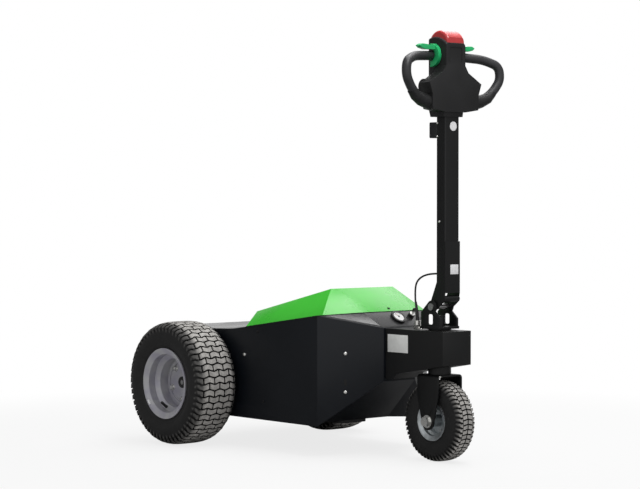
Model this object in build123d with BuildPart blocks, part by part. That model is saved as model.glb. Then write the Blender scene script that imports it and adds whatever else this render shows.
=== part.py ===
from build123d import *
import math
import os

# Pedestrian electric tow tug: two driven rear wheels, one steered front wheel under a tilting tiller.
# Millimetres. +X points to the tiller end, +Y to the left, +Z up, and Z = 0 is the ground.
# Lengths called a station are measured forwards from the rear axle.

# ---------------------------------------------------------------- driving sizes
wheelbase = 897.0
running_gap = 5.0          # between pieces that pass each other
fit_gap = 0.3              # between pieces that seat in each other
pin_clearance = 0.05       # radial, between a shaft and the bore it turns in
cut_margin = 1.0           # how far a cutting tool stands out of the piece it cuts

# tub of the chassis
tub_half_width = 239.0
tub_wall = 3.0
floor_height = 98.0
tub_rear = -180.0                      # station
tub_shoulder = wheelbase - 308.0       # station where the side panels turn in
nose_station = wheelbase - 184.0
nose_half_width = 68.0
nose_lip_height = 240.0
undercut_station = wheelbase - 392.0   # front edge of the flat floor
undercut_half_width = 140.0
belly_length = 197.0
belly_half_width = 60.0
belly_depth = 10.0
belly_corner = 20.0

# rear wheels
rear_tyre_radius = 205.0
rear_tyre_width = 166.0
rear_tyre_wall = 9.0
wheel_side_gap = 7.0       # from the tub to the tyre
rear_bead_radius = 101.6
rear_flange_radius = 117.4
rear_rim_width = 152.0
rear_flange_flare = 9.0
rear_disc_recess = 76.0    # from the outer flange in to the wheel disc
rim_sheet = 4.0
disc_ring = (66.0, 74.0, 3.0)          # inner radius, outer radius and rise of the pressed ring
lug_count = 5
lug_circle = 114.3
lug_hole_radius = 6.5
first_lug_angle = 53.0
hub_flange_thickness = 8.0
hub_flange_rim = 8.0       # metal outside the lug holes
hub_barrel_radius = 30.0
hub_barrel_length = 20.0
hub_spigot_radius = 19.0
hub_spigot_rise = 2.0
stub_shaft_radius = 12.7
housing_radius = 36.0
housing_flange_radius = 62.0
axle_port_radius = 40.0
rear_wheel_middle = tub_half_width + wheel_side_gap + rear_tyre_width / 2

# front wheel
front_tyre_radius = 127.0
front_tyre_width = 82.0
front_tyre_wall = 7.0
front_bead_radius = 50.8
front_flange_radius = 62.0
front_rim_width = front_tyre_width - 8.0
front_flange_flare = 6.0
front_hub_radius = 19.0
front_axle_radius = 8.0
axle_washer_radius = 20.0
axle_washer_thickness = 2.5
axle_hex_radius = 16.0
axle_hex_height = 12.0

# heavy masses inside the tub
drive_rear = -110.0        # station
drive_length = 230.0
drive_half_width = 180.0
drive_height = rear_tyre_radius - 5.0
battery_rear = drive_rear + drive_length + 65.0
battery_front = undercut_station - 20.0
battery_half_width = 200.0

# fork
fork_plate = 6.0
fork_side_gap = 5.5        # from the front tyre to the fork's inner face
fork_half_width = front_tyre_width / 2 + fork_side_gap + fork_plate
fork_half_length = 47.0
fork_corner = 12.0
fork_crown_height = 2 * front_tyre_radius + 18.0
fork_taper_start = front_tyre_radius + 80.0
fork_foot_radius = 27.0

# front beam and its swivel
beam_half_width = 60.6
beam_front = wheelbase + 78.0
beam_wall = 6.0
beam_top = 409.0
beam_under_rear = (wheelbase - 134.0, fork_crown_height - 5.0)
beam_under_front_height = fork_crown_height + 31.0
gusset_front = beam_under_rear[0] - 14.0
gusset_height = beam_under_rear[1] - 17.0
swivel_radius = 20.0
bearing_radius = 36.0
bearing_lift = 5.0         # top of the upper bearing ring above the beam

# deck, as (station, height) of its upper surface
deck_rear_height = 385.0
deck_step_foot = 70.0      # station
deck_step = (157.0, deck_rear_height + 4.0)
hood_foot_rear = (228.0, deck_rear_height + 13.0)
hood_foot_front = (tub_shoulder, beam_top + 40.0)
dash_top = (wheelbase - 240.0, beam_top + 48.0)
dash_half_width = 103.0
deck_sheet = 4.0
battery_top_gap = 10.0     # from the battery block to the deck's underside

# hood
hood_sheet = 3.0
hood_crown_rear = (hood_foot_rear[0] - 5.0, 187.0, hood_foot_rear[1] + 49.0)   # station, half width, height
hood_crown_front = (tub_shoulder - 54.0, 134.0, hood_foot_front[1] + 81.0)

# tiller sleeve and tube
pivot_station = wheelbase + 3.0
pivot_height = beam_top + 74.0
pivot_radius = 8.0
pivot_head_radius = pivot_radius + 3.0
pivot_head_height = 4.0
tube_half_width = 30.0
tube_depth = 40.0
tube_wall = 3.0
tube_corner = 4.0
sleeve_wall = 2.0
sleeve_half_width = tube_half_width + sleeve_wall
sleeve_front = pivot_station + 54.0
sleeve_rear = pivot_station + 17.0
sleeve_bottom = pivot_height + 44.0
sleeve_top = pivot_height + 204.0
sleeve_side_top = pivot_height + 171.0
sleeve_slant_top = sleeve_bottom + 35.0
cheek_boss_radius = 17.0
bumper_radius = 10.0
bumper_station = sleeve_front - 10.0
bumper_height = sleeve_bottom - 18.0
tube_front = sleeve_front - sleeve_wall
tube_rear = tube_front - tube_depth
tube_foot = sleeve_bottom + 8.0
tube_top = tube_foot + 558.0

# steering head that carries the tiller
head_plate_thickness = 8.0
head_plate_half_width = 43.5
ear_thickness = 6.5
cheek_gap = 0.5            # between an ear and the sleeve's cheek, at their common pin
ear_half_span = sleeve_half_width + cheek_gap + ear_thickness
ear_rear = wheelbase - 44.0
ear_front = wheelbase + 43.0
ear_front_height = beam_top + 38.0
ear_boss_radius = 20.0
ear_window = (pivot_station - 17.0, pivot_station + 6.0)       # stations
ear_window_heights = (pivot_height - 55.0, pivot_height - 23.0)
ear_window_corner = 6.0
stem_neck_radius = 13.0
post_radius = 16.0
post_top = beam_top + 46.0

# tiller head, as heights above the foot of its neck
neck_height = tube_top - 21.0
neck_rear = tube_rear - 15.0
neck_front = tube_front + 4.0
block_rear = tube_rear - 23.0
block_front = tube_front + 16.0
block_half_width = 40.8
block_top_front = neck_height + 226.0
block_top_rear = neck_height + 244.0
block_crown = neck_height + 246.0
chin_front_height = neck_height + 82.0
chin_rear_height = neck_height + 24.0
block_corner = 8.0
panel_half_width = 27.0
panel_heights = (neck_height + 166.0, neck_height + 214.0)
panel_depth = 2.0
wing_depth = 44.0
wing_tip = (111.0, neck_height + 103.0)     # half width, height
wing_root_height = neck_height + 150.0
wing_edge = 99.0
wing_edge_heights = (neck_height + 34.0, neck_height + 68.0)
bowl_side = (97.0, neck_height + 22.0)
bowl_start = (43.0, neck_height + 14.0)
pod_radius = 23.0
pod_station = tube_rear + 13.0
pod_half_span = 98.0
pod_height = neck_height + 92.0
wing_shoulder = (block_half_width + 14.0, wing_root_height - 14.0)
# the arms that flow from the wings into the grips: station, half width, height, radius
arm_stations = (
    (tube_front - 10.0, 84.0, neck_height + 42.0, 24.0),
    (tube_front - 6.0, 128.0, neck_height + 51.0, 20.5),
    (tube_front - 1.0, 155.0, neck_height + 62.0, 17.5),
    (tube_front + 1.0, 172.0, neck_height + 79.0, 15.2),
)

# cap on the block
cap_half_width = 36.0
cap_rear = (block_rear + 4.0, block_top_rear + 8.0)
cap_crown = (block_rear + 29.0, block_top_rear + 22.0)
cap_front = (block_front - 1.0, block_top_front + 18.0)
cap_skirt = 8.0
cap_edge = 9.0

# grips and thumb paddles
grip_radius = 14.5
grip_root_height = neck_height + 190.0
paddle_station = tube_rear - 2.0
paddle_inner_gap = 3.5
paddle_outer = 36.0
paddle_thickness = 12.0
blade_width = 20.0

# tow jaw at the rear
jaw_height = 262.0
jaw_pin_radius = 12.5
jaw_gap = 46.0
jaw_plate = 12.0
jaw_half_width = 35.0
jaw_reach = 236.0          # rearmost point of the jaw behind the rear axle
jaw_pin_margin = 24.0      # from the pin's axis to the jaw's end
jaw_back_plate = 10.0
jaw_back_width = 150.0
jaw_back_height = 190.0
jaw_bolt_margin = 18.0
jaw_bolt_radius = 6.5

# gauge, key switch and cable
gauge_radius = 26.0
gauge_rise = 5.0
gauge_place = (dash_top[0] + 23.0, 24.0)     # station, Y
key_radius = 11.0
key_rise = 9.0
key_place = (dash_top[0] + 19.0, 84.0)
gland_station = wheelbase - 100.0
gland_hex_radius = 13.0
gland_hex_height = 12.0
gland_nut_radius = 10.0
gland_nut_height = 14.0
cable_radius = 3.0

# The model's X origin is half way between the jaw's rear end and the front tyre's nose.
front_reach = wheelbase + front_tyre_radius
axle_x = -(front_reach - jaw_reach) / 2


def x(station):
    """Model X of a station measured from the rear axle."""
    return axle_x + station


chassis_middle = Vector(x(wheelbase / 3), 0, beam_top - 109)
side = Plane(origin=(axle_x, 0, 0), x_dir=(1, 0, 0), z_dir=(0, -1, 0))
plan = Plane(origin=(axle_x, 0, 0))


def across(station, height=0.0, y=0.0):
    """Plane square to X, with its own x along +Y and its own y up."""
    return Plane(origin=(x(station), y, height), x_dir=(0, 1, 0), z_dir=(1, 0, 0))


def side_at(y):
    """Plane of the side view moved to a given Y."""
    return side.offset(-y)


def facet(a, b, c):
    """Plane through three (station, y, height) corners, facing away from the chassis's middle."""
    p, q, r = (Vector(x(s), y, z) for s, y, z in (a, b, c))
    normal = (q - p).cross(r - p)
    if normal.dot(chassis_middle - p) > 0:
        normal = normal * -1
    return Plane(origin=p, x_dir=q - p, z_dir=normal)


def mirrored(corners):
    """The same facet on the other side of the middle plane."""
    return [(s, -y, z) for s, y, z in corners]


def cut_back(blank, facets, inset):
    """The blank with all that lies outside each facet, drawn in by inset, taken off."""
    with BuildPart() as form:
        add(blank)
        for corners in facets:
            split(bisect_by=facet(*corners).offset(-inset), keep=Keep.BOTTOM)
    return form.part


def both_sides(corners):
    """A facet and its mirror image."""
    return [corners, mirrored(corners)]


# ---------------------------------------------------------------- tub and deck forms
shoulder_top = (tub_shoulder, tub_half_width, hood_foot_front[1])
shoulder_foot = (tub_shoulder, tub_half_width, floor_height)
dash_corner = (dash_top[0], dash_half_width, dash_top[1])
nose_corner = (nose_station, nose_half_width, beam_top)
nose_lip = (nose_station, nose_half_width, nose_lip_height)
undercut_corner = (undercut_station, undercut_half_width, floor_height)

# plan outline of the tub, as wall facets
wall_facets = (
    both_sides([(0, tub_half_width, 0), (0, tub_half_width, 1), (1, tub_half_width, 0)])
    + both_sides([shoulder_foot, nose_lip, shoulder_top])
    + [[(tub_rear, 0, 0), (tub_rear, 0, 1), (tub_rear, 1, 0)]]
    + [[(nose_station, 0, 0), (nose_station, 1, 0), (nose_station, 0, 1)]]
)
undercut_facets = both_sides([shoulder_foot, undercut_corner, nose_lip]) + [
    [
        (undercut_station, 0, floor_height),
        (undercut_station, -1, floor_height),
        (nose_station, 0, nose_lip_height),
    ]
]
lid_facets = both_sides([shoulder_top, nose_corner, dash_corner])


def deck_line():
    """Corners of the deck's upper surface in the side view, from rear to nose."""
    return [
        (tub_rear, deck_rear_height),
        (deck_step_foot, deck_rear_height),
        deck_step,
        hood_foot_rear,
        hood_foot_front,
        dash_top,
        (nose_station, beam_top),
    ]


def under_deck(inset, foot):
    """Everything under the deck's upper surface, lowered by inset, down to a foot height."""
    with BuildPart() as form:
        with BuildSketch(side):
            with BuildLine():
                upper = [(s, z - inset) for s, z in deck_line()]
                Polyline(*upper, (nose_station, foot), (tub_rear, foot), close=True)
            make_face()
        extrude(amount=tub_half_width, both=True)
    return cut_back(form.part, lid_facets, inset)


def tub_form(inset):
    """Tub up to the deck surface, with its walls, floor and undercut drawn in by inset."""
    solid = cut_back(under_deck(0, floor_height + inset), wall_facets, inset)
    with BuildPart() as wedge:
        with BuildSketch(side):
            with BuildLine():
                Polyline(
                    (undercut_station - 200, floor_height - 5),
                    (nose_station + 5, floor_height - 5),
                    (nose_station + 5, nose_lip_height + 5),
                    (undercut_station - 200, nose_lip_height + 5),
                    close=True,
                )
            make_face()
        extrude(amount=tub_half_width + 5, both=True)
        for corners in undercut_facets:
            split(bisect_by=facet(*corners).offset(-inset), keep=Keep.TOP)
    with BuildPart() as form:
        add(solid)
        add(wedge.part, mode=Mode.SUBTRACT)
    return form.part


os.makedirs("parts", exist_ok=True)

# ---------------------------------------------------------------- tub
axle_height = rear_tyre_radius
with BuildPart() as body_shell:
    add(tub_form(0))
    add(tub_form(tub_wall), mode=Mode.SUBTRACT)
    with BuildSketch(side.shift_origin((x(0), 0, 0))):
        with Locations((0, axle_height)):
            Circle(axle_port_radius)
    extrude(amount=tub_half_width + 5, both=True, mode=Mode.SUBTRACT)
body_shell.part.label = "body_shell"
export_step(body_shell.part, "parts/body_shell.step")

# ---------------------------------------------------------------- deck, nested inside the tub's walls
with BuildPart() as deck:
    add(cut_back(under_deck(0, floor_height), wall_facets, tub_wall + fit_gap))
    add(under_deck(deck_sheet, floor_height - 1), mode=Mode.SUBTRACT)
deck.part.label = "deck"
export_step(deck.part, "parts/deck.step")

# ---------------------------------------------------------------- hood
hood_rear_foot = (hood_foot_rear[0], tub_half_width, hood_foot_rear[1])
hood_shoulder = (tub_shoulder, tub_half_width, hood_foot_front[1] + 1)
hood_facets = (
    both_sides([hood_rear_foot, hood_crown_rear, hood_crown_front])
    + both_sides([hood_shoulder, hood_crown_front, dash_corner])
    + [[hood_crown_rear, mirrored([hood_crown_rear])[0], hood_crown_front]]
    + [[hood_crown_front, mirrored([hood_crown_front])[0], dash_corner]]
    + [[hood_rear_foot, mirrored([hood_rear_foot])[0], hood_crown_rear]]
)


def hood_form(inset):
    """Hood drawn in by inset, standing on the deck surface."""
    with BuildPart() as blank:
        with BuildSketch(side):
            with BuildLine():
                foot = [hood_foot_rear, hood_foot_front, dash_top]
                crown = hood_crown_front[2] + 1
                Polyline(
                    (foot[0][0] - 10, foot[0][1] - 1.2 + fit_gap),
                    *[(s, z + fit_gap) for s, z in foot],
                    (foot[-1][0], crown),
                    (foot[0][0] - 10, crown),
                    close=True,
                )
            make_face()
        extrude(amount=tub_half_width, both=True)
    return cut_back(blank.part, hood_facets, inset)


with BuildPart() as hood:
    add(hood_form(0))
    add(hood_form(hood_sheet), mode=Mode.SUBTRACT)
hood.part.label = "hood"
export_step(hood.part, "parts/hood.step")

# ---------------------------------------------------------------- belly pan under the floor
belly_front = undercut_station - 8.0
with BuildPart() as belly_pan:
    with BuildSketch(plan.offset(floor_height - belly_depth)):
        with Locations((belly_front - belly_length / 2, 0)):
            RectangleRounded(belly_length, 2 * belly_half_width, belly_corner)
    extrude(amount=belly_depth)
belly_pan.part.label = "belly_pan"
export_step(belly_pan.part, "parts/belly_pan.step")

# ---------------------------------------------------------------- heavy masses inside the tub
floor_top = floor_height + tub_wall
with BuildPart() as drive_unit:
    with BuildSketch(plan.offset(floor_top)):
        with Locations((drive_rear + drive_length / 2, 0)):
            Rectangle(drive_length, 2 * drive_half_width)
    extrude(amount=drive_height)
    with BuildSketch(side):
        with Locations((0, axle_height)):
            Circle(stub_shaft_radius + fit_gap)
    extrude(amount=drive_half_width + cut_margin, both=True, mode=Mode.SUBTRACT)
drive_unit.part.label = "drive_unit"
export_step(drive_unit.part, "parts/drive_unit.step")

with BuildPart() as battery_block:
    with BuildSketch(plan.offset(floor_top)):
        with Locations(((battery_rear + battery_front) / 2, 0)):
            Rectangle(battery_front - battery_rear, 2 * battery_half_width)
    extrude(amount=deck_rear_height - deck_sheet - battery_top_gap - floor_top)
battery_block.part.label = "battery_block"
export_step(battery_block.part, "parts/battery_block.step")

# ---------------------------------------------------------------- rear axle
rear_disc_at = rear_rim_width / 2 - rear_disc_recess     # outer face of the disc from the tyre's middle
disc_face = rear_wheel_middle + rear_disc_at
hub_inner = disc_face - rim_sheet - hub_barrel_length
housing_end = hub_inner - running_gap

with BuildPart() as rear_axle:
    with BuildSketch(side):
        with Locations((0, axle_height)):
            Circle(stub_shaft_radius)
    extrude(amount=disc_face + hub_spigot_rise, both=True)
rear_axle.part.label = "rear_axle"
export_step(rear_axle.part, "parts/rear_axle.step")

for hand, sign in (("right", -1), ("left", 1)):
    with BuildPart() as axle_housing:
        with BuildSketch(side_at(sign * drive_half_width)):
            with Locations((0, axle_height)):
                Circle(housing_radius)
        extrude(amount=-sign * (housing_end - drive_half_width))
        with BuildSketch(side_at(sign * tub_half_width)):
            with Locations((0, axle_height)):
                Circle(housing_flange_radius)
        extrude(amount=-sign * hub_flange_thickness)
        with BuildSketch(side):
            with Locations((0, axle_height)):
                Circle(stub_shaft_radius + fit_gap)
        extrude(amount=housing_end + cut_margin, both=True, mode=Mode.SUBTRACT)
    axle_housing.part.label = f"axle_housing_{hand}"
    export_step(axle_housing.part, f"parts/axle_housing_{hand}.step")


# ---------------------------------------------------------------- wheels
def wheel_axis(station, height):
    """Line that a wheel turns about."""
    return Axis((x(station), 0, height), (0, 1, 0))


# outer half of a tyre's section: share of the half width, share of the height above the rim's flange
tyre_profile = (
    (0.95, 0.18),
    (1.00, 0.42),
    (0.95, 0.74),
    (0.80, 0.92),
    (0.50, 1.00),
)


def tyre(station, middle, radius, width, bead, flange, rim_width, flare, wall):
    """Hollow tyre seated between the rim's two flanges."""
    bulge = width / 2
    lip = rim_width / 2 - rim_sheet - fit_gap
    heel = lip - flare
    rise = radius - flange
    half = [(lip, flange)] + [(u * bulge, flange + v * rise) for u, v in tyre_profile]
    inner = [(lip - wall, flange)]
    inner += [(u * bulge - wall, flange + v * rise - wall) for u, v in tyre_profile[1:]]
    seat = [(heel - wall, bead + fit_gap), (heel, bead + fit_gap)]
    loop = half[::-1] + seat[::-1] + inner
    other = [(-u, r) for u, r in reversed(loop)]
    with BuildPart() as ring:
        with BuildSketch(across(station, radius, middle)):
            with BuildLine():
                Polyline(*loop, *other, close=True)
            make_face()
        revolve(axis=wheel_axis(station, radius))
    return ring.part


def rim(station, height, middle, outward, bead, flange, width, flare, disc_at, disc_bore):
    """Pressed steel rim with its disc; outward is the side (+1 or -1) that the disc faces."""
    half = width / 2
    well = 0.85 * bead
    seat_inner = 0.56 * half
    well_edge = 0.42 * half
    outer_line = [
        (well_edge, well),
        (seat_inner, bead),
        (half - rim_sheet - flare, bead),
        (half - rim_sheet, flange),
    ]
    inner_line = [
        (half, flange),
        (half, flange - rim_sheet / 2),
        (half - flare, bead - rim_sheet),
        (seat_inner - 1, bead - rim_sheet),
        (well_edge - 1, well - rim_sheet),
    ]
    ring_inner, ring_outer, ring_rise = disc_ring
    with BuildPart() as pressing:
        with BuildSketch(across(station, height, middle)):
            with BuildLine():
                Polyline(
                    *[(-u, r) for u, r in reversed(outer_line)],
                    *outer_line,
                    *inner_line,
                    *[(-u, r) for u, r in reversed(inner_line)],
                    close=True,
                )
            make_face()
            with Locations((outward * (disc_at - rim_sheet / 2), (disc_bore + well - 1) / 2)):
                Rectangle(rim_sheet, well - 1 - disc_bore)
            if ring_outer < well - rim_sheet:
                with Locations((outward * (disc_at + ring_rise / 2), (ring_inner + ring_outer) / 2)):
                    Rectangle(ring_rise, ring_outer - ring_inner)
        revolve(axis=wheel_axis(station, height))
    return pressing.part


for hand, sign in (("right", -1), ("left", 1)):
    middle = sign * rear_wheel_middle
    with BuildPart() as rear_tyre:
        add(
            tyre(
                0,
                middle,
                rear_tyre_radius,
                rear_tyre_width,
                rear_bead_radius,
                rear_flange_radius,
                rear_rim_width,
                rear_flange_flare,
                rear_tyre_wall,
            )
        )
    rear_tyre.part.label = f"tyre_{hand}"
    export_step(rear_tyre.part, f"parts/tyre_{hand}.step")

    with BuildPart() as rear_rim:
        add(
            rim(
                0,
                axle_height,
                middle,
                sign,
                rear_bead_radius,
                rear_flange_radius,
                rear_rim_width,
                rear_flange_flare,
                rear_disc_at,
                hub_spigot_radius + fit_gap,
            )
        )
        with BuildSketch(side_at(middle)):
            with Locations((0, axle_height)):
                with PolarLocations(lug_circle / 2, lug_count, start_angle=first_lug_angle):
                    Circle(lug_hole_radius)
        extrude(amount=rear_rim_width / 2, both=True, mode=Mode.SUBTRACT)
    rear_rim.part.label = f"rim_{hand}"
    export_step(rear_rim.part, f"parts/rim_{hand}.step")

    hub_flange_radius = lug_circle / 2 + lug_hole_radius + hub_flange_rim
    hub_flange_inner = disc_face - rim_sheet - hub_flange_thickness
    with BuildPart() as wheel_hub:
        for radius, inner_face, length in (
            (hub_flange_radius, hub_flange_inner, hub_flange_thickness),
            (hub_barrel_radius, hub_inner, hub_barrel_length),
            (hub_spigot_radius, hub_inner, disc_face + hub_spigot_rise - hub_inner),
        ):
            with BuildSketch(side_at(sign * inner_face)):
                with Locations((0, axle_height)):
                    Circle(radius)
            extrude(amount=-sign * length)
        with BuildSketch(side):
            with Locations((0, axle_height)):
                Circle(stub_shaft_radius + pin_clearance)
        extrude(amount=disc_face + hub_spigot_rise + cut_margin, both=True, mode=Mode.SUBTRACT)
    wheel_hub.part.label = f"hub_{hand}"
    export_step(wheel_hub.part, f"parts/hub_{hand}.step")

# ---------------------------------------------------------------- front wheel
with BuildPart() as front_tyre:
    add(
        tyre(
            wheelbase,
            0,
            front_tyre_radius,
            front_tyre_width,
            front_bead_radius,
            front_flange_radius,
            front_rim_width,
            front_flange_flare,
            front_tyre_wall,
        )
    )
front_tyre.part.label = "tyre_front"
export_step(front_tyre.part, "parts/tyre_front.step")

front_hub_half_length = fork_half_width - fork_plate - running_gap
with BuildPart() as front_rim:
    add(
        rim(
            wheelbase,
            front_tyre_radius,
            0,
            1,
            front_bead_radius,
            front_flange_radius,
            front_rim_width,
            front_flange_flare,
            rim_sheet / 2,
            front_hub_radius - 2,
        )
    )
    with BuildSketch(side):
        with Locations((wheelbase, front_tyre_radius)):
            Circle(front_hub_radius)
    extrude(amount=front_hub_half_length, both=True)
    with BuildSketch(side):
        with Locations((wheelbase, front_tyre_radius)):
            Circle(front_axle_radius + pin_clearance)
    extrude(amount=front_hub_half_length + cut_margin, both=True, mode=Mode.SUBTRACT)
front_rim.part.label = "rim_front"
export_step(front_rim.part, "parts/rim_front.step")

# ---------------------------------------------------------------- front beam
bearing_foot = fork_crown_height + fit_gap
with BuildPart() as front_beam:
    with BuildSketch(side):
        with BuildLine():
            Polyline(
                (nose_station, beam_top),
                (beam_front, beam_top),
                (beam_front, beam_under_front_height),
                beam_under_rear,
                (gusset_front, gusset_height),
                (nose_station, gusset_height),
                close=True,
            )
        make_face()
    extrude(amount=beam_half_width, both=True)
    with BuildSketch(side):
        with BuildLine():
            Polyline(
                (nose_station + beam_wall, beam_top - beam_wall),
                (beam_front - beam_wall, beam_top - beam_wall),
                (beam_front - beam_wall, beam_under_front_height + beam_wall),
                (beam_under_rear[0], beam_under_rear[1] + beam_wall),
                (nose_station + beam_wall, beam_under_rear[1] + beam_wall),
                close=True,
            )
        make_face()
    extrude(amount=beam_half_width - beam_wall, both=True, mode=Mode.SUBTRACT)
    with BuildSketch(plan):
        with Locations((wheelbase, 0)):
            Circle(bearing_radius + fit_gap)
    extrude(amount=beam_top + cut_margin, mode=Mode.SUBTRACT)
front_beam.part.label = "front_beam"
export_step(front_beam.part, "parts/front_beam.step")

bearing_top = beam_top + bearing_lift
with BuildPart() as swivel_bearing:
    with BuildSketch(plan.offset(bearing_foot)):
        with Locations((wheelbase, 0)):
            Circle(bearing_radius)
            Circle(swivel_radius + pin_clearance, mode=Mode.SUBTRACT)
    extrude(amount=bearing_top - bearing_foot)
swivel_bearing.part.label = "swivel_bearing"
export_step(swivel_bearing.part, "parts/swivel_bearing.step")

# ---------------------------------------------------------------- fork
with BuildPart() as fork:
    with BuildSketch(across(wheelbase)):
        with BuildLine():
            foot = front_tyre_radius - fork_foot_radius
            arch = FilletPolyline(
                (-fork_half_width, foot),
                (-fork_half_width, fork_crown_height),
                (fork_half_width, fork_crown_height),
                (fork_half_width, foot),
                radius=fork_corner,
            )
            Line(arch @ 1, arch @ 0)
        make_face()
        with BuildLine():
            inner = fork_half_width - fork_plate
            hollow = FilletPolyline(
                (-inner, foot - 1),
                (-inner, fork_crown_height - fork_plate),
                (inner, fork_crown_height - fork_plate),
                (inner, foot - 1),
                radius=fork_corner - fork_plate,
            )
            Line(hollow @ 1, hollow @ 0)
        make_face(mode=Mode.SUBTRACT)
    extrude(amount=fork_half_length, both=True)
    with BuildSketch(side):
        with BuildLine():
            Polyline(
                (wheelbase - fork_half_length, fork_crown_height + 1),
                (wheelbase + fork_half_length, fork_crown_height + 1),
                (wheelbase + fork_half_length, fork_taper_start),
                (wheelbase + fork_foot_radius, front_tyre_radius),
                (wheelbase - fork_foot_radius, front_tyre_radius),
                (wheelbase - fork_half_length, fork_taper_start),
                close=True,
            )
        make_face()
        with Locations((wheelbase, front_tyre_radius)):
            Circle(fork_foot_radius)
    extrude(amount=fork_half_width + 1, both=True, mode=Mode.INTERSECT)
    with BuildSketch(side):
        with Locations((wheelbase, front_tyre_radius)):
            Circle(front_axle_radius + fit_gap)
    extrude(amount=fork_half_width + 1, both=True, mode=Mode.SUBTRACT)
fork.part.label = "fork"
export_step(fork.part, "parts/fork.step")

with BuildPart() as front_axle:
    with BuildSketch(side):
        with Locations((wheelbase, front_tyre_radius)):
            Circle(front_axle_radius)
    extrude(amount=fork_half_width, both=True)
    for sign in (-1, 1):
        with BuildSketch(side_at(sign * fork_half_width)):
            with Locations((wheelbase, front_tyre_radius)):
                Circle(axle_washer_radius)
        extrude(amount=-sign * axle_washer_thickness)
        with BuildSketch(side_at(sign * (fork_half_width + axle_washer_thickness))):
            with Locations((wheelbase, front_tyre_radius)):
                RegularPolygon(radius=axle_hex_radius, side_count=6)
        extrude(amount=-sign * axle_hex_height)
front_axle.part.label = "front_axle"
export_step(front_axle.part, "parts/front_axle.step")

# ---------------------------------------------------------------- swivel stem and steering head
head_base = bearing_top + fit_gap
head_plate_top = head_base + head_plate_thickness
with BuildPart() as swivel_stem:
    for radius, low, high in (
        (swivel_radius, fork_crown_height, head_base),
        (stem_neck_radius, head_base, head_plate_top),
        (post_radius, head_plate_top, post_top),
    ):
        with BuildSketch(plan.offset(low)):
            with Locations((wheelbase, 0)):
                Circle(radius)
        extrude(amount=high - low)
swivel_stem.part.label = "swivel_stem"
export_step(swivel_stem.part, "parts/swivel_stem.step")

with BuildPart() as steering_head:
    with BuildSketch(plan.offset(head_base)):
        with Locations(((ear_rear + ear_front) / 2, 0)):
            Rectangle(ear_front - ear_rear, 2 * head_plate_half_width)
        with Locations((wheelbase, 0)):
            Circle(stem_neck_radius + fit_gap, mode=Mode.SUBTRACT)
    extrude(amount=head_plate_thickness)
    for face_y in (-ear_half_span, ear_half_span):
        with BuildSketch(side_at(face_y)):
            with BuildLine():
                Polyline(
                    (ear_rear, head_plate_top),
                    (ear_front, head_plate_top),
                    (ear_front, ear_front_height),
                    (pivot_station + 15, pivot_height - 14),
                    (pivot_station - 12, pivot_height + 16),
                    (ear_rear + 14, pivot_height - 4),
                    (ear_rear, pivot_height - 18),
                    close=True,
                )
            make_face()
            with Locations((pivot_station, pivot_height)):
                Circle(ear_boss_radius)
                Circle(pivot_radius + fit_gap, mode=Mode.SUBTRACT)
            low, high = ear_window
            foot, top = ear_window_heights
            with Locations(((low + high) / 2, (foot + top) / 2)):
                RectangleRounded(high - low, top - foot, ear_window_corner, mode=Mode.SUBTRACT)
        extrude(amount=-ear_thickness if face_y < 0 else ear_thickness)
steering_head.part.label = "steering_head"
export_step(steering_head.part, "parts/steering_head.step")

with BuildPart() as pivot_pin:
    with BuildSketch(side):
        with Locations((pivot_station, pivot_height)):
            Circle(pivot_radius)
    extrude(amount=ear_half_span, both=True)
    for face_y in (-ear_half_span, ear_half_span):
        with BuildSketch(side_at(face_y)):
            with Locations((pivot_station, pivot_height)):
                Circle(pivot_head_radius)
        extrude(amount=pivot_head_height if face_y < 0 else -pivot_head_height)
pivot_pin.part.label = "pivot_pin"
export_step(pivot_pin.part, "parts/pivot_pin.step")

# ---------------------------------------------------------------- tiller sleeve
with BuildPart() as tiller_sleeve:
    for face_y in (-sleeve_half_width, sleeve_half_width):
        with BuildSketch(side_at(face_y)):
            with BuildLine():
                Polyline(
                    (sleeve_rear, sleeve_side_top),
                    (sleeve_front, sleeve_top),
                    (sleeve_front, sleeve_bottom),
                    (bumper_station + 4, bumper_height - bumper_radius),
                    (pivot_station + 12, pivot_height - 12),
                    (pivot_station - 12, pivot_height + 12),
                    (sleeve_rear, sleeve_slant_top),
                    close=True,
                )
            make_face()
            with Locations((pivot_station, pivot_height)):
                Circle(cheek_boss_radius)
                Circle(pivot_radius + pin_clearance, mode=Mode.SUBTRACT)
        extrude(amount=-sleeve_wall if face_y < 0 else sleeve_wall)
    with BuildSketch(side):
        with BuildLine():
            Polyline(
                (sleeve_front - sleeve_wall, sleeve_bottom),
                (sleeve_front, sleeve_bottom),
                (sleeve_front, sleeve_top),
                (sleeve_front - sleeve_wall, sleeve_top - sleeve_wall),
                close=True,
            )
        make_face()
    extrude(amount=tube_half_width + fit_gap, both=True)
    with BuildSketch(side):
        with Locations((bumper_station, bumper_height)):
            Circle(bumper_radius)
    extrude(amount=sleeve_half_width, both=True)
tiller_sleeve.part.label = "tiller_sleeve"
export_step(tiller_sleeve.part, "parts/tiller_sleeve.step")

tube_middle = (tube_front + tube_rear) / 2
with BuildPart() as tiller_tube:
    with BuildSketch(plan.offset(tube_foot)):
        with Locations((tube_middle, 0)):
            RectangleRounded(tube_depth, 2 * tube_half_width, tube_corner)
            bore = (tube_depth - 2 * tube_wall, 2 * (tube_half_width - tube_wall))
            RectangleRounded(*bore, tube_corner - tube_wall, mode=Mode.SUBTRACT)
    extrude(amount=tube_top - tube_foot)
tiller_tube.part.label = "tiller_tube"
export_step(tiller_tube.part, "parts/tiller_tube.step")

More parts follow.
